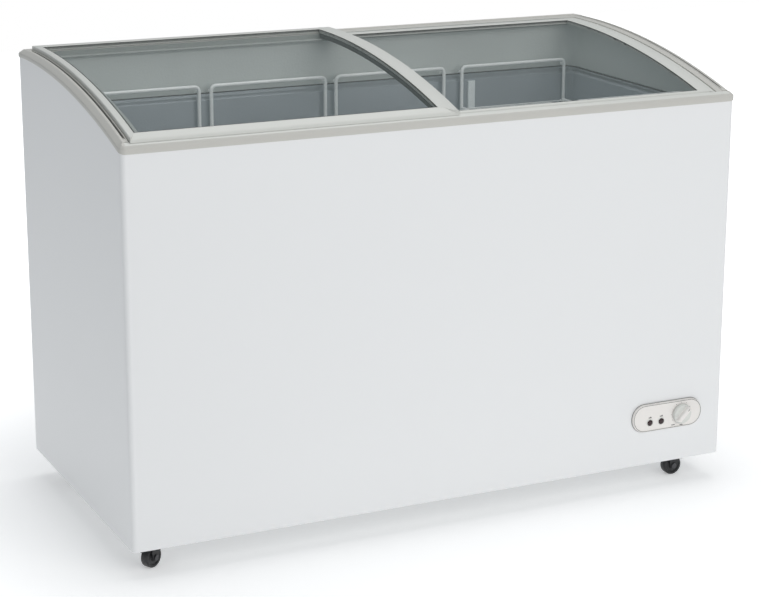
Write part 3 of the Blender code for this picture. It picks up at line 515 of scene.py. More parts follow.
def make_back_details(materials):
    """Screws, pressed beads and louvres of the back."""
    panel_low, panel_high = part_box("back_panel")
    grille_low, grille_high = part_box("rear_grille")
    side, bottom, top = PANEL_SCREW_INSET
    left, right = panel_low.x + side, panel_high.x - side
    spots = [(x, z) for x in spaced(left, right, PANEL_SCREW_PITCH[0])
             for z in (panel_low.z + bottom, panel_high.z - top)]
    spots += [(x, z) for x in (left, right) for z in spaced(*PANEL_SCREW_SPAN, PANEL_SCREW_PITCH[1])]
    side, end = GRILLE_SCREW_INSET
    spots += [(x, z) for x in (grille_low.x + side, grille_high.x - side)
              for z in (grille_low.z + end, (grille_low.z + grille_high.z) / 2, grille_high.z - end)]
    bm = bmesh.new()
    for x, z in spots:
        screw_head(bm, Vector((x, Y_BACK, z)), Vector((0, 1, 0)), SCREW_RADIUS)
    place(new_object("back_screws", bm, materials["axle_steel"]), "cabinet", "axle_steel")

    bm = bmesh.new()
    for middle in BEAD_MIDDLES:
        loops = []
        for share, rise in ((0.0, 0.0001), (0.5, 0.0016), (1.0, 0.0001), (0.5, -0.0004)):
            outline = rectangle(middle - BEAD_HALF_WIDTH, middle + BEAD_HALF_WIDTH, *BEAD_SPAN,
                                BEAD_RADIUS, 6, inset=share * BEAD_WIDTH)
            loops.append([(x, Y_BACK + rise, z) for x, z in outline])
        skin(bm, loops, closed=True)
    place(new_object("back_pressed_beads", bm, materials["zinc_steel"]), "cabinet", "zinc_steel")

    bm = bmesh.new()
    for row in range(LOUVRES):
        z = grille_low.z + LOUVRE_START + row * LOUVRE_PITCH
        x_end = grille_high.x - (GLAND_INSET if row < GLAND_ROWS else LOUVRE_INSET)
        blade = [(Y_BACK - 0.0030, z + 0.0122), (Y_BACK - 0.0036, z + 0.0110),
                 (Y_BACK - 0.0130, z + 0.0030), (Y_BACK - 0.0124, z + 0.0018)]
        skin(bm, [[(x, y, level) for y, level in blade] for x in (grille_low.x + LOUVRE_INSET, x_end)])
    place(new_object("grille_louvres", bm, materials["black_plastic"]), "cabinet", "black_plastic")


def screw_head(bm, place_at, axis, radius):
    """A pan head with a cross recess, standing on a face that looks along axis."""
    side = axis.cross(Vector((0.0, 0.0, 1.0)) if abs(axis.z) < 0.5 else Vector((1.0, 0.0, 0.0)))
    side.normalize()
    up = axis.cross(side)
    rim, cross = [1.0] * 16, [0.38, 0.14, 0.14, 0.14] * 4
    profile = [(1.0, rim, -0.0004), (1.0, rim, 0.0006), (0.86, rim, 0.0013), (0.45, rim, 0.0017),
               (1.0, cross, 0.0009)]
    skin(bm, [[place_at + axis * rise
               + (side * math.cos(angle) + up * math.sin(angle)) * radius * (scale * share)
               for angle, share in zip(circle(16), shares)] for scale, shares, rise in profile])


# ---------------------------------------------------------------- trim round the opening
SIDE_SLOPE = (0.0104, 0.0080)    # sloping band on the sides: its depth, and its lower edge's height
FRONT_SLOPE = (0.0032, 0.0104)   # the same on the front, where it is only a soft edge
EDGE_RADIUS = 0.0028
REAR_EDGE_RADIUS = 0.0050
RISER_SHEET = 0.0012
LIP_DEPTH = 0.012
GROOVE_X = (0.0065, 0.0022)   # outer and inner wall of the groove, from the crest's inner edge
GROOVE_FLOOR = 0.0088
GROOVE_START = 0.010          # plain stretch of the side rail before the groove, and behind it
GROOVE_STOP = 0.006
GROOVE_FADE = 0.016
GROOVE_SHADE_TOP = 0.0118            # top of a dark strip that lies in the groove: painted shade that darkens the groove
CAP_INSET = 0.0042            # cap of the front rail: its front edge, and its rise above the lip
CAP_RISE = 0.0003


def lip_section(share):
    """Outer band of the trim as (inset, height) points, from the sides (share 0) to the front (1)."""
    depth, low = (side + (front - side) * share for side, front in zip(SIDE_SLOPE, FRONT_SLOPE))
    top = CREST + (TRACK_HIGH - CREST) * share
    inner = LIP_DEPTH - 0.0002
    corners = [(0.0030, GAP), (0.0, GAP), (0.0, low), (depth, top), (inner, top), (inner, GAP)]
    return rounded(corners, [0, 0.0009, EDGE_RADIUS, EDGE_RADIUS, 0, 0])


def make_front_rail(materials):
    """Lip that turns both front corners, and the upper and lower tracks behind it."""
    y_end = Y_FRONT + FRONT_LEDGE
    steps = 6
    count = len(plan_line(0.0, y_end, LIP_DEPTH, steps))
    loops = []
    for i in range(count):
        share = min(1.0, min(i, count - 1 - i) / (steps + SHELL_CORNER_STEPS))
        loop = []
        for inset, height in lip_section(share * share * (3 - 2 * share)):
            x, y = plan_line(inset, y_end, LIP_DEPTH, steps)[i]
            loop.append((x, y, arc_z(max(y, Y_FRONT - OVERHANG), height)))
        loops.append(loop)
    lip = loft("front_rail_lip", loops, materials["trim_plastic"], sharp=50.0)
    place(lip, "cabinet", "trim_plastic", "front_rail")

    y0, y1, y2 = Y_FRONT - OVERHANG + LIP_DEPTH, Y_FRONT + FRONT_LEDGE, Y_FRONT + FRONT_FLANGE
    for label, x_end, ya, yb, height in (("upper", TRIM_X - LIP_DEPTH, y0, y1, TRACK_HIGH),
                                         ("lower", TRACK_END_X, y1, y2, TRACK_LOW)):
        outline = [(ya, arc_z(ya, GAP)), (yb, arc_z(yb, GAP)), (yb, arc_z(yb, height - TRACK_EDGE)),
                   (yb - TRACK_EDGE, arc_z(yb, height)), (ya, arc_z(ya, height))]
        if label == "upper":
            cap = Y_FRONT - OVERHANG + CAP_INSET
            outline[-1:] = [(cap + CAP_RISE, arc_z(cap, height + CAP_RISE)), (cap, arc_z(cap, height)),
                            (ya, arc_z(ya, height - CAP_RISE))]
        # The upper track takes the lighter lid plastic as painted light on the rail's top; the lower one
        # takes the darker track plastic as painted shade.
        finish = "lit_lid_plastic" if label == "upper" else "shaded_track_plastic"
        track = prism_x(f"front_{label}_track", outline, -x_end, x_end, materials[finish])
        place(track, "cabinet", "trim_plastic")


def side_section(side, section, y):
    """Place (inset, height) points of a side rail at depth y."""
    return [(side * (TRIM_X - inset), y, arc_z(y, height)) for inset, height in section]


def make_arch_rail(side, materials):
    """Arched rail with a rounded outer band, a groove darkened by a dark strip as painted shade, and a
    ledge for each lid.
    """
    name = "left_arch_rail" if side < 0 else "right_arch_rail"
    low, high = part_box(name)
    crest_in = SIDE_CREST_WIDTH
    ledge_in = crest_in + SIDE_LEDGE_WIDTH
    flange_in = ledge_in + SIDE_FLANGE_WIDTH
    groove = (crest_in - GROOVE_X[0], crest_in - GROOVE_X[1])
    loops = []
    for y in spaced(low.y, high.y, ARC_STEP / 2):
        from_end = min(y - low.y - GROOVE_START, high.y - y - GROOVE_STOP)
        depth = max(0.0, min(1.0, from_end / GROOVE_FADE)) * (CREST - GROOVE_FLOOR)
        section = lip_section(0.0)[:-2]
        section += [(groove[0] - 0.0005, CREST), (groove[0], CREST - 0.05 * depth),
                    (groove[0] + 0.0002, CREST - depth), (groove[1] - 0.0002, CREST - depth),
                    (groove[1], CREST - 0.05 * depth), (groove[1] + 0.0005, CREST),
                    (crest_in - TRACK_EDGE, CREST), (crest_in, TRACK_HIGH + 0.0004),
                    (crest_in + 0.0004, TRACK_HIGH), (ledge_in - TRACK_EDGE, TRACK_HIGH),
                    (ledge_in, TRACK_HIGH - TRACK_EDGE), (ledge_in, GAP)]
        loops.append(side_section(side, section, y))
    rail = loft(name + "_moulding", loops, materials["trim_plastic"])
    place(rail, "cabinet", "trim_plastic", name)

    # A dark rubber strip in the groove: painted shade that makes the groove read dark.
    section = [(groove[0] + 0.0004, GROOVE_FLOOR), (groove[0] + 0.0004, GROOVE_SHADE_TOP),
               (groove[1] - 0.0004, GROOVE_SHADE_TOP), (groove[1] - 0.0004, GROOVE_FLOOR)]
    depths = spaced(low.y + GROOVE_START + GROOVE_FADE, high.y - GROOVE_STOP - GROOVE_FADE, ARC_STEP)
    loops = [side_section(side, section, y) for y in depths]
    groove_shade_piece = loft(name.replace("arch_rail", "groove_shade_strip"), loops, materials["lid_seal_rubber"])
    place(groove_shade_piece, "cabinet", "lid_seal_rubber")

    section = [(ledge_in + 0.0001, GAP), (ledge_in + 0.0001, TRACK_LOW),
               (flange_in - TRACK_EDGE, TRACK_LOW), (flange_in, TRACK_LOW - TRACK_EDGE),
               (flange_in, GAP)]
    loops = [side_section(side, section, y) for y in spaced(low.y, high.y, ARC_STEP)]
    # Drawn in the darker track plastic as painted shade under the lids.
    track = loft(name.replace("arch_rail", "lower_track"), loops, materials["shaded_track_plastic"])
    place(track, "cabinet", "trim_plastic")


def make_rear_rail(materials):
    """Rear crest with rounded ends, and the two tracks ahead of it."""
    crest_y = Y_BACK - REAR_CREST_DEPTH
    middle_y, middle_z = Y_BACK - REAR_EDGE_RADIUS, CREST - REAR_EDGE_RADIUS
    profile = [(Y_BACK, GAP), (Y_BACK, middle_z)]
    for k in range(1, 7):
        angle = math.radians(15 * k)
        profile.append((middle_y + REAR_EDGE_RADIUS * math.cos(angle),
                        middle_z + REAR_EDGE_RADIUS * math.sin(angle)))
    profile += [(crest_y + 0.0008, CREST), (crest_y, CREST - TRACK_EDGE), (crest_y, GAP)]
    ends = [point for point in lip_section(0.0)[:-2] if point[1] > SIDE_SLOPE[1] / 2]
    stations = [(-TRIM_X + inset, top) for inset, top in ends]
    stations += [(TRIM_X - inset, top) for inset, top in reversed(ends)]
    loops = [[(x, y, arc_z(y, min(height, top))) for y, height in profile] for x, top in stations]
    crest = loft("rear_rail_crest", loops, materials["trim_plastic"], sharp=50.0)
    place(crest, "cabinet", "trim_plastic", "rear_rail")

    ya, yb, yc = (Y_BACK - reach for reach in (REAR_CREST_DEPTH + 0.0001, REAR_LEDGE, REAR_FLANGE))
    edge, riser = TRACK_EDGE, yb - RISER_SHEET
    upper = [(ya, arc_z(ya, GAP)), (ya, arc_z(ya, TRACK_HIGH)), (yb + edge, arc_z(yb, TRACK_HIGH)),
             (yb, arc_z(yb, TRACK_HIGH - edge)), (yb, arc_z(yb, GAP))]
    lower = [(yb - 0.0001, arc_z(yb, GAP)), (yb - 0.0001, arc_z(yb, TRACK_HIGH - edge)),
             (riser, arc_z(yb, TRACK_HIGH - edge)), (riser, arc_z(riser, TRACK_LOW)),
             (yc + edge, arc_z(yc, TRACK_LOW)), (yc, arc_z(yc, TRACK_LOW - edge)), (yc, arc_z(yc, GAP))]
    # The lower rear track is drawn in the darker track plastic as painted shade.
    for label, outline, x_end, finish in (("upper", upper, LEDGE_END_X, "trim_plastic"),
                                          ("lower", lower, TRACK_END_X, "shaded_track_plastic")):
        track = prism_x(f"rear_{label}_track", outline, -x_end, x_end, materials[finish])
        place(track, "cabinet", "trim_plastic")


# ---------------------------------------------------------------- lids
MITRE_GAP = 0.0001
STILE_EDGE = 0.0022
GLASS_BEAD = 0.0025
LID_HEIGHTS = {"left_lid": (0.0142, 0.0225), "right_lid": (0.0045, 0.0125)}
GLASS_HEIGHTS = {"left_lid": (0.0172, 0.0212), "right_lid": (0.0075, 0.0112)}
FRONT_SLOPES = {"left_lid": 0.016, "right_lid": 0.006}      # depth of the front rail's sloping band


def frame_section(width, heights, slope, inner_top):
    """Section of a lid's frame as (share of its width, height), outer edge first."""
    low, high = heights
    edge, inner = STILE_EDGE / width, 0.0012 / width
    points = [(0.0, low), (0.0, low + 0.0012)]
    if slope:
        points += [(0.02, low + 0.0022), (slope / width * 0.5, low + (high - low) * 0.62),
                   (slope / width * 0.8, high - 0.0008), (slope / width, high)]
    else:
        points += [(0.0, high - STILE_EDGE), (edge * 0.15, high - STILE_EDGE * 0.5),
                   (edge * 0.5, high - STILE_EDGE * 0.15), (edge, high)]
    points += [(1.0 - inner, high), (1.0 - inner * 0.3, high - 0.0004), (1.0, high - 0.0012),
               (1.0, inner_top), (1.0, low)]
    return points


def make_lid(lid, materials):
    """Mitred frame of four rails round a curved pane, with a dark glazing bead."""
    boxes = {part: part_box(f"{lid}_{part}")
             for part in ("front_rail", "rear_rail", "left_stile", "right_stile")}
    x0, x1 = boxes["front_rail"][0].x, boxes["front_rail"][1].x
    y0, y1 = boxes["front_rail"][0].y, boxes["rear_rail"][1].y
    left = boxes["left_stile"][1].x - x0
    right = x1 - boxes["right_stile"][0].x
    front = boxes["front_rail"][1].y - y0
    rear = y1 - boxes["rear_rail"][0].y
    glass_low, glass_high = GLASS_HEIGHTS[lid]
    # The mitre at each corner, from the frame's outer edge (share 0) to its inner edge (1).
    front_left, front_right, rear_left, rear_right = (
        lambda t: (x0 + t * left, y0 + t * front), lambda t: (x1 - t * right, y0 + t * front),
        lambda t: (x0 + t * left, y1 - t * rear), lambda t: (x1 - t * right, y1 - t * rear))
    frame_pieces = {
        "front_rail": (front_left, front_right, front), "right_stile": (front_right, rear_right, right),
        "rear_rail": (rear_right, rear_left, rear), "left_stile": (rear_left, front_left, left),
    }
    for part, (start, end, width) in frame_pieces.items():
        slope = FRONT_SLOPES[lid] if part == "front_rail" else 0.0
        section = frame_section(width, LID_HEIGHTS[lid], slope, glass_high)
        count = 1 if part.endswith("rail") else round((y1 - y0) / ARC_STEP)
        along = Vector(end(0.0)) - Vector(start(0.0))
        cut = MITRE_GAP / along.length
        loops = []
        for i in range(count + 1):
            share = cut + (1 - 2 * cut) * i / count
            loop = []
            for t, height in section:
                x, y = Vector(start(t)).lerp(Vector(end(t)), share)
                loop.append((x, y, arc_z(y, height)))
            loops.append(loop)
        # The frame is drawn in the lighter lid plastic, a lit copy of the trim plastic: painted light.
        piece = loft(f"{lid}_{part}_moulding", loops, materials["lit_lid_plastic"])
        place(piece, lid, "trim_plastic", f"{lid}_{part}")

    pane_x = (x0 + left, x1 - right)
    pane_y = (y0 + front, y1 - rear)
    depths = spaced(*pane_y, ARC_STEP)
    section = [(pane_x[0], glass_low), (pane_x[1], glass_low), (pane_x[1], glass_high),
               (pane_x[0], glass_high)]
    loops = [[(x, y, arc_z(y, height)) for x, height in section] for y in depths]
    pane = loft(f"{lid}_pane", loops, materials["lid_glass"])
    place(pane, lid, "lid_glass", f"{lid}_glass")
    make_glazing_bead(lid, pane_x, pane_y, glass_high, materials)


def make_glazing_bead(lid, pane_x, pane_y, glass_high, materials):
    """Thin dark bead that lies on the pane along all four edges."""
    bm = bmesh.new()
    top = glass_high + 0.0007
    corners = [(pane_x[0], pane_y[0], 1, 1), (pane_x[1], pane_y[0], -1, 1),
               (pane_x[1], pane_y[1], -1, -1), (pane_x[0], pane_y[1], 1, -1)]
    profile = [(0.0, glass_high), (0.0, top), (GLASS_BEAD * 0.6, top), (GLASS_BEAD, glass_high)]
    for (ax, ay, sx, sy), (bx, by, tx, ty) in zip(corners, corners[1:] + corners[:1]):
        count = max(1, round(abs(by - ay) / ARC_STEP))
        loops = []
        for k in range(count + 1):
            share = k / count
            loop = []
            for reach, height in profile:
                x = (ax + sx * reach) * (1 - share) + (bx + tx * reach) * share
                y = (ay + sy * reach) * (1 - share) + (by + ty * reach) * share
                loop.append((x, y, arc_z(y, height)))
            loops.append(loop)
        skin(bm, loops)
    bead = new_object(f"{lid}_glazing_bead", bm, materials["lid_seal_rubber"])
    place(bead, lid, "lid_seal_rubber")


# ---------------------------------------------------------------- inside
LINER_RADIUS = 0.038
LEDGE_ABOVE_PROBE = 0.015
COLLAR = (0.0028, 0.0038)        # outer and inner face of the collar, from the liner's outside


def make_upper_liner(materials):
    """Smooth collar between the basket ledge and the trim, and a dark strip on the ledge as painted shade
    along the ledge line.
    """
    low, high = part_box("inner_liner")
    ledge_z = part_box("probe_channel")[1].z + LEDGE_ABOVE_PROBE
    plan = (low.x, high.x, low.y, high.y, LINER_RADIUS, 8)
    loops = []
    for inset, top in ((COLLAR[0], False), (COLLAR[0], True), (COLLAR[1], True), (COLLAR[1], False)):
        outline = rectangle(*plan, inset=inset)
        dense = []
        for i, (x, y) in enumerate(outline):
            nx, ny = outline[(i + 1) % len(outline)]
            count = max(1, round(math.hypot(nx - x, ny - y) / 0.03))
            dense += [(x + (nx - x) * k / count, y + (ny - y) * k / count) for k in range(count)]
        loops.append([(x, y, arc_z(y, -0.0006) if top else ledge_z + 0.0005) for x, y in dense])
    collar = loft("upper_liner_collar", loops, materials["upper_liner"], closed=True)
    place(collar, "cabinet", "liner_aluminium")

    # A thin black strip on the ledge's inner edge: painted shade along the ledge line.
    loops = []
    for inset, rise in ((0.0112, 0.0003), (0.0118, 0.0022), (0.0160, 0.0022), (0.0168, 0.0003)):
        loops.append([(x, y, ledge_z + rise) for x, y in rectangle(*plan, inset=inset)])
    ledge_shade_piece = loft("ledge_shade_line", loops, materials["black_plastic"], closed=True)
    place(ledge_shade_piece, "cabinet", "black_plastic")


WIRE = 0.0014
FRAME_WIRE = 0.0038
MESH_PITCH = 0.0262
HOOP_CORNER = 0.010
HOOK_DROP = 0.0151               # centre of the stubs that rest on the ledge, below the hoop's top
HOOK_REACH = 0.013
RIM_DROP = 0.094                 # rim along the sides, below the hoop's top


def wire_object(name, splines, radius, material, resolution=2):
    """One object of round wires, each given as its points and whether it is closed."""
    curve = bpy.data.curves.new(name, "CURVE")
    curve.dimensions = "3D"
    curve.bevel_depth = radius
    curve.bevel_resolution = resolution
    curve.use_fill_caps = True
    for points, closed in splines:
        spline = curve.splines.new("POLY")
        spline.points.add(len(points) - 1)
        for target, point in zip(spline.points, points):
            target.co = (*point, 1.0)
        spline.use_cyclic_u = closed
    curve.materials.append(material)
    obj = bpy.data.objects.new(name, curve)
    bpy.context.scene.collection.objects.link(obj)
    return obj


def make_basket(name, materials):
    """Coated-wire basket: two tall end hoops, a lower rim along the sides, a wire mesh."""
    low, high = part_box(name)
    x0, x1 = low.x + FRAME_WIRE, high.x - FRAME_WIRE
    y0, y1 = low.y + HOOK_REACH + FRAME_WIRE, high.y - HOOK_REACH - FRAME_WIRE
    z0, z1 = low.z + FRAME_WIRE, high.z - FRAME_WIRE
    rim = high.z - RIM_DROP
    heavy = []
    for y in (y0, y1):
        corners = [(x0, y, z0), (x0, y, z1), (x1, y, z1), (x1, y, z0)]
        heavy.append((bent(corners, HOOP_CORNER, 6, closed=True), True))
    for x in (x0, x1):
        heavy.append(([(x, y0, rim), (x, y1, rim)], False))
        heavy.append(([(x, y0, z0 + HOOP_CORNER), (x, y1, z0 + HOOP_CORNER)], False))
    hook_z = high.z - HOOK_DROP
    for y, out in ((y0, -1), (y1, 1)):
        for x in (x0, x1):
            heavy.append(([(x, y, hook_z), (x, y + out * (HOOK_REACH - 0.002), hook_z)], False))
    frame_wires = wire_object(name + "_frame_wires", heavy, FRAME_WIRE, materials["basket_wire"], 3)

    fine = []
    inner = FRAME_WIRE + WIRE
    for x in spaced(x0 + 0.016, x1 - 0.016, MESH_PITCH):
        path = [(x, y0 + inner, rim), (x, y0 + inner, z0 + inner), (x, y1 - inner, z0 + inner),
                (x, y1 - inner, rim)]
        fine.append((bent(path, 0.006, 2), False))
    for y in spaced(y0 + 0.03, y1 - 0.03, MESH_PITCH * 1.5):
        path = [(x0 + inner, y, rim), (x0 + inner, y, z0 + inner + 2 * WIRE),
                (x1 - inner, y, z0 + inner + 2 * WIRE), (x1 - inner, y, rim)]
        fine.append((bent(path, 0.008, 3), False))
    for z in spaced(z0 + 0.03, rim, MESH_PITCH * 1.4):
        for y in (y0 + inner + 2 * WIRE, y1 - inner - 2 * WIRE):
            fine.append(([(x0, y, z), (x1, y, z)], False))
        for x in (x0 + inner + 2 * WIRE, x1 - inner - 2 * WIRE):
            fine.append(([(x, y0, z), (x, y1, z)], False))
    mesh_wires = wire_object(name + "_mesh_wires", fine, WIRE, materials["basket_wire"], 1)
    place(frame_wires, name + "_body", "basket_wire", name)
    place(mesh_wires, name + "_body", "basket_wire")


# ---------------------------------------------------------------- controls
FACE_DEPTH = 0.0005              # the plate's face lies this far behind its rim
SHADE_BORDER_RISE = 0.00015
MARK_RISE = 0.00012
DIAL_MARKS = range(-120, 121, 30)      # degrees round the knob, from upright
FLUTES = 30
FLUTE_DEPTH = 0.0007
GRIP_TURN = 45                   # degrees of the knob's grip from upright
GRIP_HALF_WIDTH = 0.0052


def make_control_plate(materials):
    """Moulded plate with a soft edge, a grey ring under it that peeks round its edge, and a thin grey
    border on its rim: both painted shade that draws the plate's dark outline.
    """
    low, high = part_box("control_plate")
    front = low.y
    radius = (high.z - low.z) / 2 - 0.001
    face = front + FACE_DEPTH

    def ring(inset, y):
        outline = rectangle(low.x, high.x, low.z, high.z, radius, 12, inset=inset)
        return [(x, y, z) for x, z in outline]

    loops = [ring(0.0, high.y), ring(0.0, front + 0.0026), ring(0.0003, front + 0.0014),
             ring(0.0008, front + 0.0004), ring(0.0014, front), ring(0.0030, front),
             ring(0.0034, face), ring(0.0044, face)]
    plate = loft("control_plate_moulding", loops, materials["panel_plastic"])
    place(plate, "cabinet", "panel_plastic", "control_plate")

    # Grey ring behind the plate, peeking round its edge: painted shade along the plate's outline.
    loops = [ring(-0.0009, Y_FRONT - 0.0002), ring(-0.0009, Y_FRONT - 0.0012)]
    plate_shade_ring = loft("control_plate_shade_ring", loops, materials["grey_outline_shade"])
    place(plate_shade_ring, "cabinet", "black_rubber")

    # Thin grey border ring on the rim: painted shade of the plate's outline.
    loops = [ring(0.0015, front + 0.0002), ring(0.0015, front - SHADE_BORDER_RISE),
             ring(0.0027, front - SHADE_BORDER_RISE), ring(0.0027, front + 0.0002)]
    plate_shade_border = loft("control_plate_shade_border", loops, materials["grey_outline_shade"], closed=True)
    place(plate_shade_border, "cabinet", "black_plastic")
    make_lamps(face, materials)
    make_marks(face, materials)


def make_lamps(face, materials):
    """A moulded rim and a domed lens for each lamp."""
    for label in ("power", "run"):
        lamp_low, lamp_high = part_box(f"{label}_lamp")
        x, z = (lamp_low.x + lamp_high.x) / 2, (lamp_low.z + lamp_high.z) / 2
        reach = (lamp_high.x - lamp_low.x) / 2
        rim = [(reach + 0.0018, face), (reach + 0.0015, face - 0.0009), (reach + 0.0004, face - 0.0009),
               (reach + 0.0001, face - 0.0002), (reach + 0.0001, face + 0.001)]
        piece = turned(f"{label}_lamp_rim", rim, materials["knob_plastic"], (x, 0.0, z), 40, ring=True)
        place(piece, "cabinet", "knob_plastic")
        dome = [(reach, face + 0.002), (reach, face - 0.0004)]
        for k in range(1, 7):
            angle = math.radians(85 * k / 6)
            dome.append((reach * math.cos(angle), face - 0.0004 - 0.0022 * math.sin(angle)))
        lens = turned(f"{label}_lamp_lens", dome, materials["lamp_plastic"], (x, 0.0, z), 40)
        place(lens, "cabinet", "lamp_plastic", f"{label}_lamp")


def make_marks(face, materials):
    """Plain bars over the lamps and under the knob, and dots round the knob."""
    marks = bmesh.new()
    for label in ("power", "run"):
        lamp_low, lamp_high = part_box(f"{label}_lamp")
        x, z = (lamp_low.x + lamp_high.x) / 2, lamp_high.z + 0.0045
        printed_bar(marks, x, z, 0.0036, 0.0009, face)
        printed_bar(marks, x + 0.0018, z + 0.0014, 0.0012, 0.0007, face)
    knob_low, knob_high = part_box("thermostat_knob")
    cx, cz = (knob_low.x + knob_high.x) / 2, (knob_low.z + knob_high.z) / 2
    for x, z, half_width in ((cx - 0.0186, cz - 0.0225, 0.0042), (cx + 0.0010, cz - 0.0247, 0.0038)):
        printed_bar(marks, x, z, half_width, 0.0008, face)
    reach = (knob_high.z - knob_low.z) / 2 + 0.0022
    for angle in map(math.radians, DIAL_MARKS):
        printed_bar(marks, cx + reach * math.sin(angle), cz + reach * math.cos(angle), 0.0007, 0.0007,
                    face)
    place(new_object("control_plate_marks", marks, materials["mark_print"]), "cabinet", "black_plastic")


def printed_bar(bm, x, z, half_width, half_height, face):
    outline = rectangle(x - half_width, x + half_width, z - half_height, z + half_height,
                        min(half_width, half_height) * 0.9, 3)
    skin(bm, [[(px, face + 0.0001, pz) for px, pz in outline],
              [(px, face - MARK_RISE, pz) for px, pz in outline]])


def make_knob(materials):
    """Round thermostat knob: a fluted skirt, a dished face and a raised grip bar."""
    low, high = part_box("thermostat_knob")
    centre = Vector(((low.x + high.x) / 2, 0.0, (low.z + high.z) / 2))
    reach = (high.z - low.z) / 2
    back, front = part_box("control_plate")[0].y - 0.0008, low.y
    profile = [(reach * 0.55, back), (reach - 0.0004, back), (reach, back - 0.0008),
               (reach - 0.0012, back - 0.0056), (reach - 0.0020, back - 0.0066),
               (reach - 0.0032, back - 0.0070), (reach - 0.0046, back - 0.0064),
               (0.004, back - 0.0060)]
    loops = []
    for radius, y in profile:
        ring = []
        for angle in circle(FLUTES * 4):
            wave = (1 + math.cos(FLUTES * angle)) / 2
            dip = FLUTE_DEPTH * wave if radius > reach - 0.0025 else 0.0
            ring.append((centre.x + (radius - dip) * math.sin(angle), y,
                         centre.z + (radius - dip) * math.cos(angle)))
        loops.append(ring)
    dial = loft("thermostat_dial", loops, materials["knob_plastic"], sharp=50.0)
    place(dial, "knob", "knob_plastic", "thermostat_knob")

    turn = math.radians(GRIP_TURN)

    def across_dial(outline, y):
        return [(centre.x + u * math.cos(turn) + v * math.sin(turn), y,
                 centre.z - u * math.sin(turn) + v * math.cos(turn)) for u, v in outline]

    half_long = reach - 0.0028
    loops = []
    for shrink, y in ((-0.0012, back - 0.0060), (0.0, back - 0.0066), (0.0006, front + 0.0016),
                      (0.0012, front + 0.0005), (0.0022, front)):
        outline = rectangle(-GRIP_HALF_WIDTH, GRIP_HALF_WIDTH, -half_long, half_long,
                            GRIP_HALF_WIDTH - 0.0004, 8, inset=shrink)
        loops.append(across_dial(outline, y))
    # The grip is drawn in the lighter plate plastic though it belongs to the knob's moulding: painted
    # highlight on the raised bar.
    grip = loft("thermostat_grip", loops, materials["panel_plastic"], sharp=50.0)
    place(grip, "knob", "knob_plastic")

    tip = reach - 0.0055
    outline = rectangle(-0.0006, 0.0006, tip - 0.0052, tip, 0.0005, 3)
    loops = [across_dial(outline, front + 0.0002), across_dial(outline, front - MARK_RISE)]
    place(loft("thermostat_pointer", loops, materials["mark_print"]), "knob", "black_plastic")


# ---------------------------------------------------------------- castors
CASTOR_TURNS = {"front_left": 30, "front_right": 0, "rear_left": 90, "rear_right": -60}
TREAD_HALF_WIDTH = 0.0085
TREAD_EDGE = 0.0030
CHEEK = (0.0096, 0.0124)         # inner and outer face of the fork's cheeks, from the wheel's middle
CHEEK_EDGE = 0.0008
BOSS_RADIUS = 0.0075
CROWN_LOW = 0.0446
HOOD_ARC = (34, 150)             # degrees above the wheel's middle
BOLT_REACH = 0.019
BOLT_RADIUS = 0.0032


def make_wheel(prefix, wheel_at, radius, turn, materials):
    """Wheel with a recessed web between hub and rim, and a tread with soft edges."""
    half = TREAD_HALF_WIDTH
    web = [(0.0034, half), (0.0075, half), (0.0082, half - 0.0012), (0.0145, half - 0.0018)]
    profile = [(reach, -along) for reach, along in web]
    profile += [(0.0152, -half + 0.0004), (radius - TREAD_EDGE, -half)]
    for k in range(-5, 6):
        angle = math.radians(15 * k)
        side = (k > 0) - (k < 0)
        profile.append((radius - TREAD_EDGE + TREAD_EDGE * math.cos(angle),
                        side * (half - TREAD_EDGE) + TREAD_EDGE * math.sin(angle)))
    profile += [(radius - TREAD_EDGE, half), (0.0152, half - 0.0004)] + web[::-1]
    wheel = turned(prefix + "_tread_wheel", profile, materials["castor_plastic"], wheel_at, 56,
                   ring=True, turn=turn)
    place(wheel, prefix + "_roller", "castor_plastic", prefix + "_wheel")


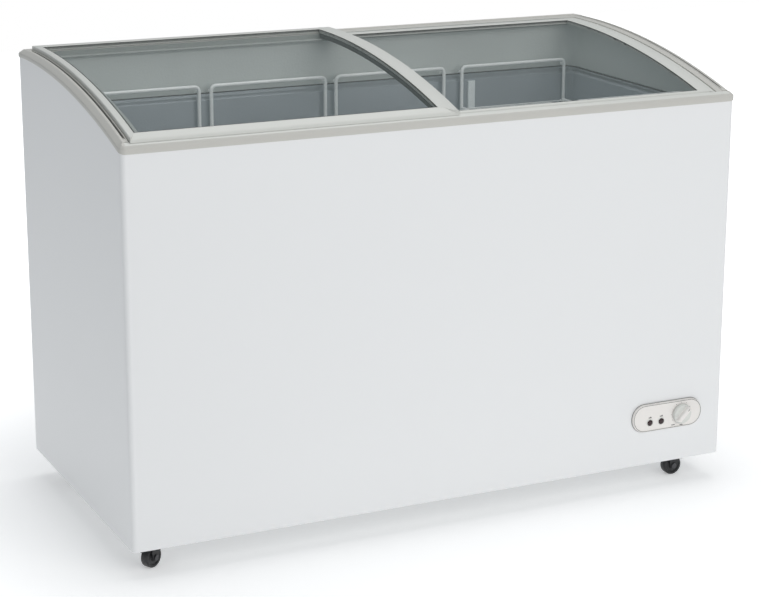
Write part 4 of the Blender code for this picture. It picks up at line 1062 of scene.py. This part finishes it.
def make_castor(name, materials):
    """Moulded fork with round cheeks, a hood and a crown, its wheel, and the plate's bolts."""
    prefix = f"castor_{name}"
    wheel_low, wheel_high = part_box(prefix + "_wheel")
    plate_low, plate_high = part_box(prefix + "_plate")
    wheel_at = (wheel_low + wheel_high) / 2
    swivel_at = ((plate_low + plate_high) / 2).xy.to_3d()
    turn = Matrix.Rotation(math.radians(CASTOR_TURNS[name]), 3, "Z")
    radius = (wheel_high.z - wheel_low.z) / 2
    trail = (wheel_at.xy.to_3d() - swivel_at).length
    make_wheel(prefix, wheel_at, radius, turn, materials)

    def spot(along, across, z):
        """Place along and across the wheel's heading from the swivel, at height z."""
        return swivel_at + turn @ Vector((along, across, 0.0)) + Vector((0.0, 0.0, z))

    bm = bmesh.new()
    cheek = []
    for k in range(13):
        angle = math.radians(190 + 160 * k / 12)
        cheek.append((-trail + BOSS_RADIUS * math.cos(angle), wheel_at.z + BOSS_RADIUS * math.sin(angle)))
    cheek += [(0.0030, 0.034), (0.0120, 0.0440), (0.0125, 0.0475), (-trail - 0.0090, 0.0475),
              (-trail - 0.0105, 0.0400)]
    middle = Vector((-trail * 0.6, 0.036))
    for side in (-1, 1):
        loops = []
        for y, shrink in ((CHEEK[0], 0.0), (CHEEK[1] - CHEEK_EDGE, 0.0), (CHEEK[1], CHEEK_EDGE)):
            points = [middle + (Vector(point) - middle) * (1 - shrink / 0.014) for point in cheek]
            loops.append([spot(point.x, side * y, point.y) for point in points])
        skin(bm, loops)
    hood = []
    for angle in (math.radians(degrees) for degrees in spaced(*HOOD_ARC, 8.0)):
        hood.append([spot(-trail + reach * math.cos(angle), y, wheel_at.z + reach * math.sin(angle))
                     for reach, y in ((radius + 0.0012, -0.0122), (radius + 0.0022, -0.0126),
                                      (radius + 0.0022, 0.0126), (radius + 0.0012, 0.0122))])
    skin(bm, hood)
    crown_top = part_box(prefix + "_fork")[1].z
    crown = [(0.0150, CROWN_LOW), (0.0172, CROWN_LOW + 0.0008), (0.0180, CROWN_LOW + 0.0028),
             (0.0180, crown_top - 0.0012), (0.0170, crown_top)]
    skin(bm, [[swivel_at + Vector((reach * math.cos(angle), reach * math.sin(angle), z))
               for angle in circle(48)] for reach, z in crown])
    fork = new_object(prefix + "_moulded_fork", bm, materials["castor_plastic"])
    place(fork, prefix + "_swivel", "castor_plastic", prefix + "_fork")

    bm = bmesh.new()
    for dx in (-BOLT_REACH, BOLT_REACH):
        for dy in (-BOLT_REACH, BOLT_REACH):
            screw_head(bm, swivel_at + Vector((dx, dy, plate_low.z)), Vector((0, 0, -1)), BOLT_RADIUS)
    place(new_object(prefix + "_bolts", bm, materials["axle_steel"]), "cabinet", "axle_steel")


def main():
    make_camera()
    make_studio()
    materials = make_materials()
    finish_cad_nodes(materials)
    make_cabinet_shell(materials)
    make_back_details(materials)
    make_front_rail(materials)
    make_arch_rail(-1, materials)
    make_arch_rail(1, materials)
    make_rear_rail(materials)
    for lid in LID_HEIGHTS:
        make_lid(lid, materials)
    make_upper_liner(materials)
    for index in range(1, 5):
        make_basket(f"basket_{index}", materials)
    make_control_plate(materials)
    make_knob(materials)
    for name in CASTOR_TURNS:
        make_castor(name, materials)


main()
